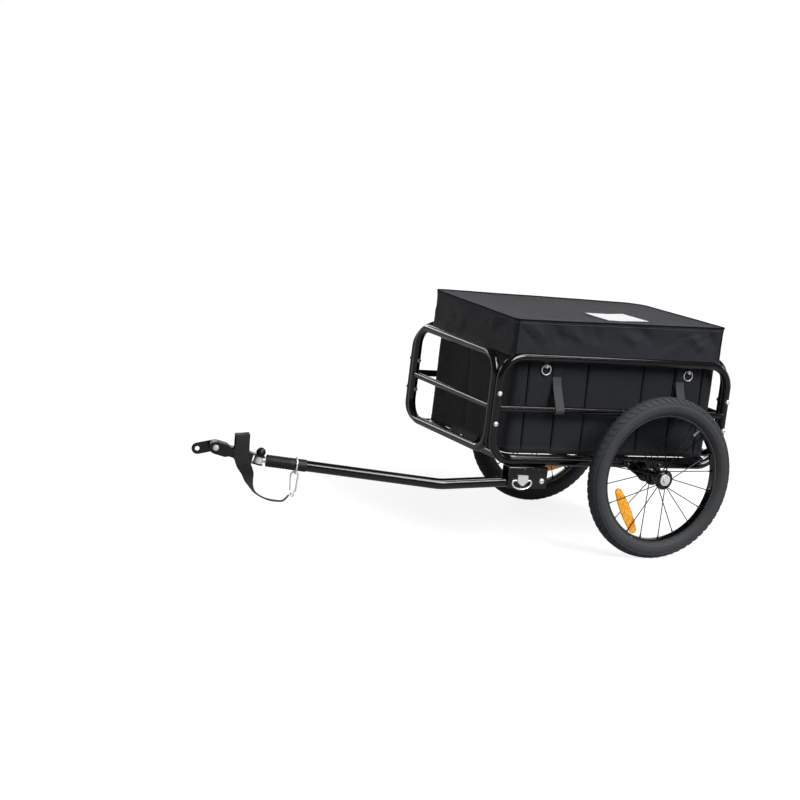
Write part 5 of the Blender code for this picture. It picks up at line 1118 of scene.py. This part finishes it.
# Webbing loops: 24 mm straps sewn to the box at both ends, passed round the side frames' mid bars, so that the
# box can't lift. A strip of the box's dark cloth lies over each strap's top end and draws that end dark.
webbing = surface("grey_polyester_webbing", "grey_webbing", "#404245", "#36383b", 0.8, patch_mm=8.0,
                  grain_mm=1.0, grain_depth_mm=0.25, Sheen_Weight=0.15)
BAR_LOOP = MID_BAR_RADIUS + CLEARANCE + 0.00075
LOOP_WIDTH, DARK_END_WIDTH = 0.024, 0.0262
skin = BOX_HALF + 0.0012
route = [(skin, 0.432), (skin + 0.0004, 0.424), (skin + 0.004, 0.412), (skin + 0.010, 0.398)]
route += arc(SIDE_Y, MID_BAR_Z, BAR_LOOP, 25, -155, 12)
route += [(skin + 0.002, MID_BAR_Z + 0.018), (skin, MID_BAR_Z + 0.034)]
dark_end_route = ((0.0016, 0.466), (0.0024, 0.450), (0.0028, 0.436), (0.0024, 0.428))
loops, dark_ends = [], []
for side in (1, -1):
    for x in (0.270, -0.090):
        stations = [(Vector((x, side * y, z)), Vector((LOOP_WIDTH, 0, 0))) for y, z in route]
        loops.append(strap(smoothed(stations, 3), 0.0014))
        # A strip of the box's dark cloth over the strap's top end draws it dark.
        stations = [(Vector((x, side * (BOX_HALF + out), z)), Vector((DARK_END_WIDTH, 0, 0))) for out, z in dark_end_route]
        dark_ends.append(strap(stations, 0.0016))
piece("webbing_loops", joined(loops), webbing, "frame")
piece("webbing_tabs", joined(dark_ends), oxford, "frame")

# The flap: a cloth tongue sewn low on the box's front, lapped over the floor loop's front tube and closed with a
# plated press stud.
FLAP_RADIUS = TUBE_RADIUS + CLEARANCE + 0.001
FLAP_WIDTH = 0.135
PRESS_LAY = math.radians(50)
route = [(BOX_FRONT + 0.0028, 0.262), (BOX_FRONT + 0.0030, 0.252), (BOX_FRONT + 0.0058, 0.2425)]
route += arc(FLOOR_FRONT, FLOOR_Z, FLAP_RADIUS, 60, -80, 10)
stations = [(Vector((x, 0.0, z)), Vector((0, FLAP_WIDTH, 0))) for x, z in route]
piece("bar_flap", strap(smoothed(stations, 3), 0.002, ribs=16), oxford, "frame")
press = turned([(0.0, 0.0026), (0.0018, 0.0026), (0.0022, 0.0022), (0.0036, 0.0024), (0.0055, 0.0012),
                (0.0057, 0.0), (0.0, 0.0)], 32)
place = (Matrix.Translation((FLOOR_FRONT, 0.0, FLOOR_Z)) @ Matrix.Rotation(math.pi / 2 - PRESS_LAY, 4, "Y")
         @ Matrix.Translation((0, 0, FLAP_RADIUS + 0.0009)))
piece("press_stud", moved(press, place), zinc, "frame")

# The cover: the same cloth, sewn as a lid with a deep skirt and corded edges, pulled down over the box between
# the side loops. It has no frame, so its corners lie at four heights and its skirt folds softly between them.
COVER_FRONT, COVER_REAR, COVER_HALF = 0.408, -0.204, 0.208
COVER_HEM = 0.470
COVER_CORNERS = ((0.5650, 0.5700), (0.5700, 0.5635))
COVER_SAG = 0.004
COVER_SKEW = 0.009
COVER_CORNER = 0.018
FAR_CORNER = 0.055
SKIRT_ROWS, TOP_ROWS = 26, 34
cover_cloth = cloth("coated_polyester_cover", "#2a2c32", "#212329", 1.5, roughness=0.50)
cover_middle = (COVER_FRONT + COVER_REAR) / 2
cover_reach = (COVER_FRONT - COVER_REAR) / 2


def top_height(x, y):
    """How high the cover's top lies: it spans its four corners, sags between them and ripples softly."""
    u = min(max((x - COVER_REAR) / (COVER_FRONT - COVER_REAR), 0.0), 1.0)
    v = min(max((y + COVER_HALF) / (2 * COVER_HALF), 0.0), 1.0)
    (rear_right, rear_left), (front_right, front_left) = COVER_CORNERS
    level = (rear_right * (1 - v) + rear_left * v) * (1 - u) + (front_right * (1 - v) + front_left * v) * u
    inner = (1 - (2 * u - 1) ** 4) * (1 - (2 * v - 1) ** 4)
    ripple = (0.0026 * noise.noise(Vector((x * 8, y * 6, 1.3)))
              + 0.0008 * noise.noise(Vector((x * 26, y * 20, 5.1))))
    return level - COVER_SAG * inner + ripple * (0.25 + 0.75 * inner) - 0.0008


def on_cover(x, y):
    """The point of the cover's top over a place in the plan."""
    return skewed(x, y, cover_middle, cover_reach, COVER_HALF, COVER_SKEW), y, top_height(x, y)


# Folds of the skirt: side, start and end as (place along the side, height), depth and half width. The first are
# the broad ones under the top edge, the rest are small.
folds = [(1, (0.372, 0.556), (0.300, 0.505), 0.0042, 0.012), (1, (0.300, 0.552), (0.262, 0.500), -0.0040, 0.011),
         (1, (0.255, 0.548), (0.200, 0.506), 0.0046, 0.012), (1, (0.190, 0.556), (0.160, 0.500), -0.0030, 0.012),
         (1, (0.105, 0.545), (0.040, 0.512), 0.0046, 0.011), (1, (0.060, 0.556), (0.000, 0.520), -0.0036, 0.010),
         (1, (-0.090, 0.550), (-0.165, 0.500), 0.0044, 0.012),
         (1, (-0.150, 0.560), (-0.186, 0.510), -0.0036, 0.010)]
for corner_x, corner_side in ((COVER_FRONT, 1), (COVER_REAR, -1)):
    for face_y in (1, -1):
        for _ in range(7):
            start = corner_x - corner_side * random.uniform(0.01, 0.16)
            high = random.uniform(0.525, 0.562)
            run = random.uniform(0.04, 0.12)
            drop = random.uniform(0.02, 0.060)
            folds.append((face_y, (start, high), (start - corner_side * run, high - drop),
                          random.uniform(-0.0018, 0.0018), random.uniform(0.004, 0.009)))
for _ in range(9):
    start = random.uniform(COVER_REAR + 0.06, COVER_FRONT - 0.06)
    folds.append((-1, (start, random.uniform(0.52, 0.558)), (start + random.uniform(-0.08, 0.08), 0.505),
                  random.uniform(-0.0040, 0.0040), random.uniform(0.009, 0.013)))


def fold_push(side_sign, a, z):
    """How far the skirt stands out at a place, from the folds on that side."""
    total = 0.0
    for face_y, (x0, z0), (x1, z1), depth, width in folds:
        if face_y != side_sign:
            continue
        dx, dz = x1 - x0, z1 - z0
        t = max(0.0, min(1.0, ((a - x0) * dx + (z - z0) * dz) / (dx * dx + dz * dz)))
        gap = math.hypot(a - x0 - dx * t, z - z0 - dz * t)
        total += depth * max(0.0, 1.0 - gap / (width * 1.6)) * math.sin(math.pi * min(t + 0.12, 1.0))
    return total


walk = outline_walk(COVER_REAR, COVER_FRONT, -COVER_HALF, COVER_HALF, (COVER_CORNER, FAR_CORNER), 0.004)
rows, uvs = [], []
for k in range(SKIRT_ROWS + 1):
    share = k / SKIRT_ROWS
    row, row_uv = [], []
    for x, y, nx, ny, distance in walk:
        z = COVER_HEM + (top_height(x, y) - COVER_HEM) * share
        if abs(ny) > 0.7:
            push = fold_push(1 if y > 0 else -1, x, z)
        else:
            push = fold_push(-1, y + 0.1, z) * 0.6
        bow = -0.0030 * math.sin(math.pi * share) * (1 if abs(nx * ny) < 0.2 else 0.3)
        hem = 0.0008 if share < 0.12 else 0.0
        soft = 0.0018 * noise.noise(Vector((x * 11, y * 11, z * 14)))
        crumple = 0.0016 * (0.25 - abs(noise.noise(Vector((x * 16 + z * 9, y * 16, z * 20)))))
        fade = min(1.0, (1 - share) * 9 + 0.1)
        push = (push + bow + soft + crumple) * fade + hem - 0.0012
        front = skewed(x, y, cover_middle, cover_reach, COVER_HALF, COVER_SKEW)
        row.append((front + nx * push, y + ny * push, z))
        row_uv.append((distance, z))
    rows.append(row)
    uvs.append(row_uv)
for k in range(1, TOP_ROWS):
    share = 1 - (k / TOP_ROWS)
    rows.append([on_cover(cover_middle + (x - cover_middle) * share, y * share) for x, y, *_ in walk])
cover = piece("sewn_cover", solidified(skinned(rows, uvs), 0.0022), cover_cloth, "cover", ["cover"])
edge_line = [(x, y, z + 0.0004) for x, y, z in rows[SKIRT_ROWS]]
hem_line = [(x, y, z + 0.0014) for x, y, z in rows[0]]
cords = [tube(edge_line, 0.0017, 10, closed=True), tube(hem_line, 0.0014, 8, closed=True)]
for x in (COVER_FRONT - 0.008, COVER_REAR + 0.010):
    for y in (COVER_HALF, -COVER_HALF):
        near = min(range(len(walk)), key=lambda k: (walk[k][0] - x) ** 2 + (walk[k][1] - y) ** 2)
        cords.append(tube([row[near] for row in rows[:SKIRT_ROWS + 1]], 0.0010, 6))
cording = piece("cover_cording", joined(cords), near_black_cord, "cover")

# The patch: a blank piece of white woven nylon sewn on the cover's top.
PATCH_CORNERS = tuple(Vector(p) for p in ((0.115, 0.040), (-0.012, 0.015), (-0.024, 0.119), (0.109, 0.141)))
PATCH_COLUMNS, PATCH_ROWS = 24, 16
white_nylon = surface("white_woven_nylon", "coated_polyester", "#f4f4f3", "#f0f1f1", 0.6, patch_mm=20.0,
                      grain_mm=1.2, grain_depth_mm=0.04)


def lying(spot, lift):
    """A place on the cover's top, lifted a little."""
    return spot.x, spot.y, top_height(spot.x, spot.y) + lift


bm = bmesh.new()
grid = []
for i in range(PATCH_COLUMNS + 1):
    near, far = (PATCH_CORNERS[a].lerp(PATCH_CORNERS[b], i / PATCH_COLUMNS) for a, b in ((0, 1), (3, 2)))
    grid.append([bm.verts.new(lying(near.lerp(far, j / PATCH_ROWS), 0.0014)) for j in range(PATCH_ROWS + 1)])
for a, b in zip(grid, grid[1:]):
    for j in range(PATCH_ROWS):
        bm.faces.new((a[j], a[j + 1], b[j + 1], b[j]))
patch = piece("blank_patch", solidified(bm, 0.0008), white_nylon, "cover")

# Stitching: polyester thread in a lock stitch, 5 mm apart here, along the cover's top edge and hem, and round
# the patch.
STITCH_SPACING = 0.005
STITCH_HALF, STITCH_RADIUS = 0.0015, 0.00045
thread = surface("polyester_sewing_thread", "coated_polyester", "#6a6c70", "#5c5e62", 0.6, patch_mm=5.0,
                 grain_mm=0.6, grain_depth_mm=0.02)
seam_tree, seam_in, seam_out = node_group("stitches_along_a_line", (
    ("Geometry", "NodeSocketGeometry"), ("Item", "NodeSocketObject"), ("Spacing", "NodeSocketFloat"),
    ("Look", "NodeSocketMaterial")))
seam_curve = add(seam_tree, "GeometryNodeMeshToCurve", {"Mesh": seam_in["Geometry"]})
seam_points = add(seam_tree, "GeometryNodeCurveToPoints", {"Curve": seam_curve.outputs[0],
                                                           "Length": seam_in["Spacing"]}, mode="LENGTH")
stand_items(seam_tree, seam_in, seam_out, seam_points.outputs["Points"], seam_points.outputs["Rotation"])


def stitched(line, look):
    """Stitches along a closed line."""
    guide = bpy.data.meshes.new("seam_line")
    guide.from_pydata(line, [(k, (k + 1) % len(line)) for k in range(len(line))], [])
    stitch = rod((0, 0, -STITCH_HALF), (0, 0, STITCH_HALF), STITCH_RADIUS, 5)
    return grown(seam_tree, stitch, {"Spacing": STITCH_SPACING, "Look": look}, guide)


seams = []
for level in (SKIRT_ROWS - 2, 2):
    line = [(x + nx * 0.0004, y + ny * 0.0004, z) for (x, y, z), (_, _, nx, ny, _) in zip(rows[level], walk)]
    seams.append(stitched(line, thread))
stitching = piece("cover_stitching", joined(seams), thread, "cover")
middle = sum(PATCH_CORNERS, Vector((0, 0))) / 4
line = [lying(a.lerp(b, k / 12).lerp(middle, 0.06), 0.0020)
        for a, b in zip(PATCH_CORNERS, PATCH_CORNERS[1:] + PATCH_CORNERS[:1]) for k in range(12)]
patch_seam = piece("patch_stitching", stitched(line, white_nylon), white_nylon, "cover")

# D-rings: plated wire rings for a lashing cord, each on a shouldered stud riveted through the box's side.
STUD_Z = 0.4525
STUD_BASE = BOX_HALF + CLEARANCE
NECK_RADIUS = 0.0020
RING_RADIUS, WIRE_RADIUS = 0.0125, 0.0015
RING_Z = STUD_Z + NECK_RADIUS + CLEARANCE + WIRE_RADIUS - RING_RADIUS
stud_profile = [(0.0, 0.0102), (0.0028, 0.0100), (0.0044, 0.0092), (0.0050, 0.0080), (0.0050, 0.0072),
                (NECK_RADIUS, 0.0068), (NECK_RADIUS, 0.0014), (0.0052, 0.0010), (0.0056, 0.0), (0.0, 0.0)]
for side, tag in SIDES:
    for x, end in ((0.305, "front"), (-0.110, "rear")):
        name = tag + "_" + end
        place = Matrix.Translation((x, side * STUD_BASE, STUD_Z)) @ outwards(side)
        piece("shoulder_stud_" + name, moved(turned(stud_profile, 36), place), zinc, "frame",
              ["ring_stud_" + name])
        line = [(x + u, side * (STUD_BASE + 0.0042), RING_Z + v) for u, v in circle(RING_RADIUS, 48)]
        piece("wire_ring_" + name, tube(line, WIRE_RADIUS, 14, closed=True), zinc, "d_ring_" + name,
              ["d_ring_" + name])
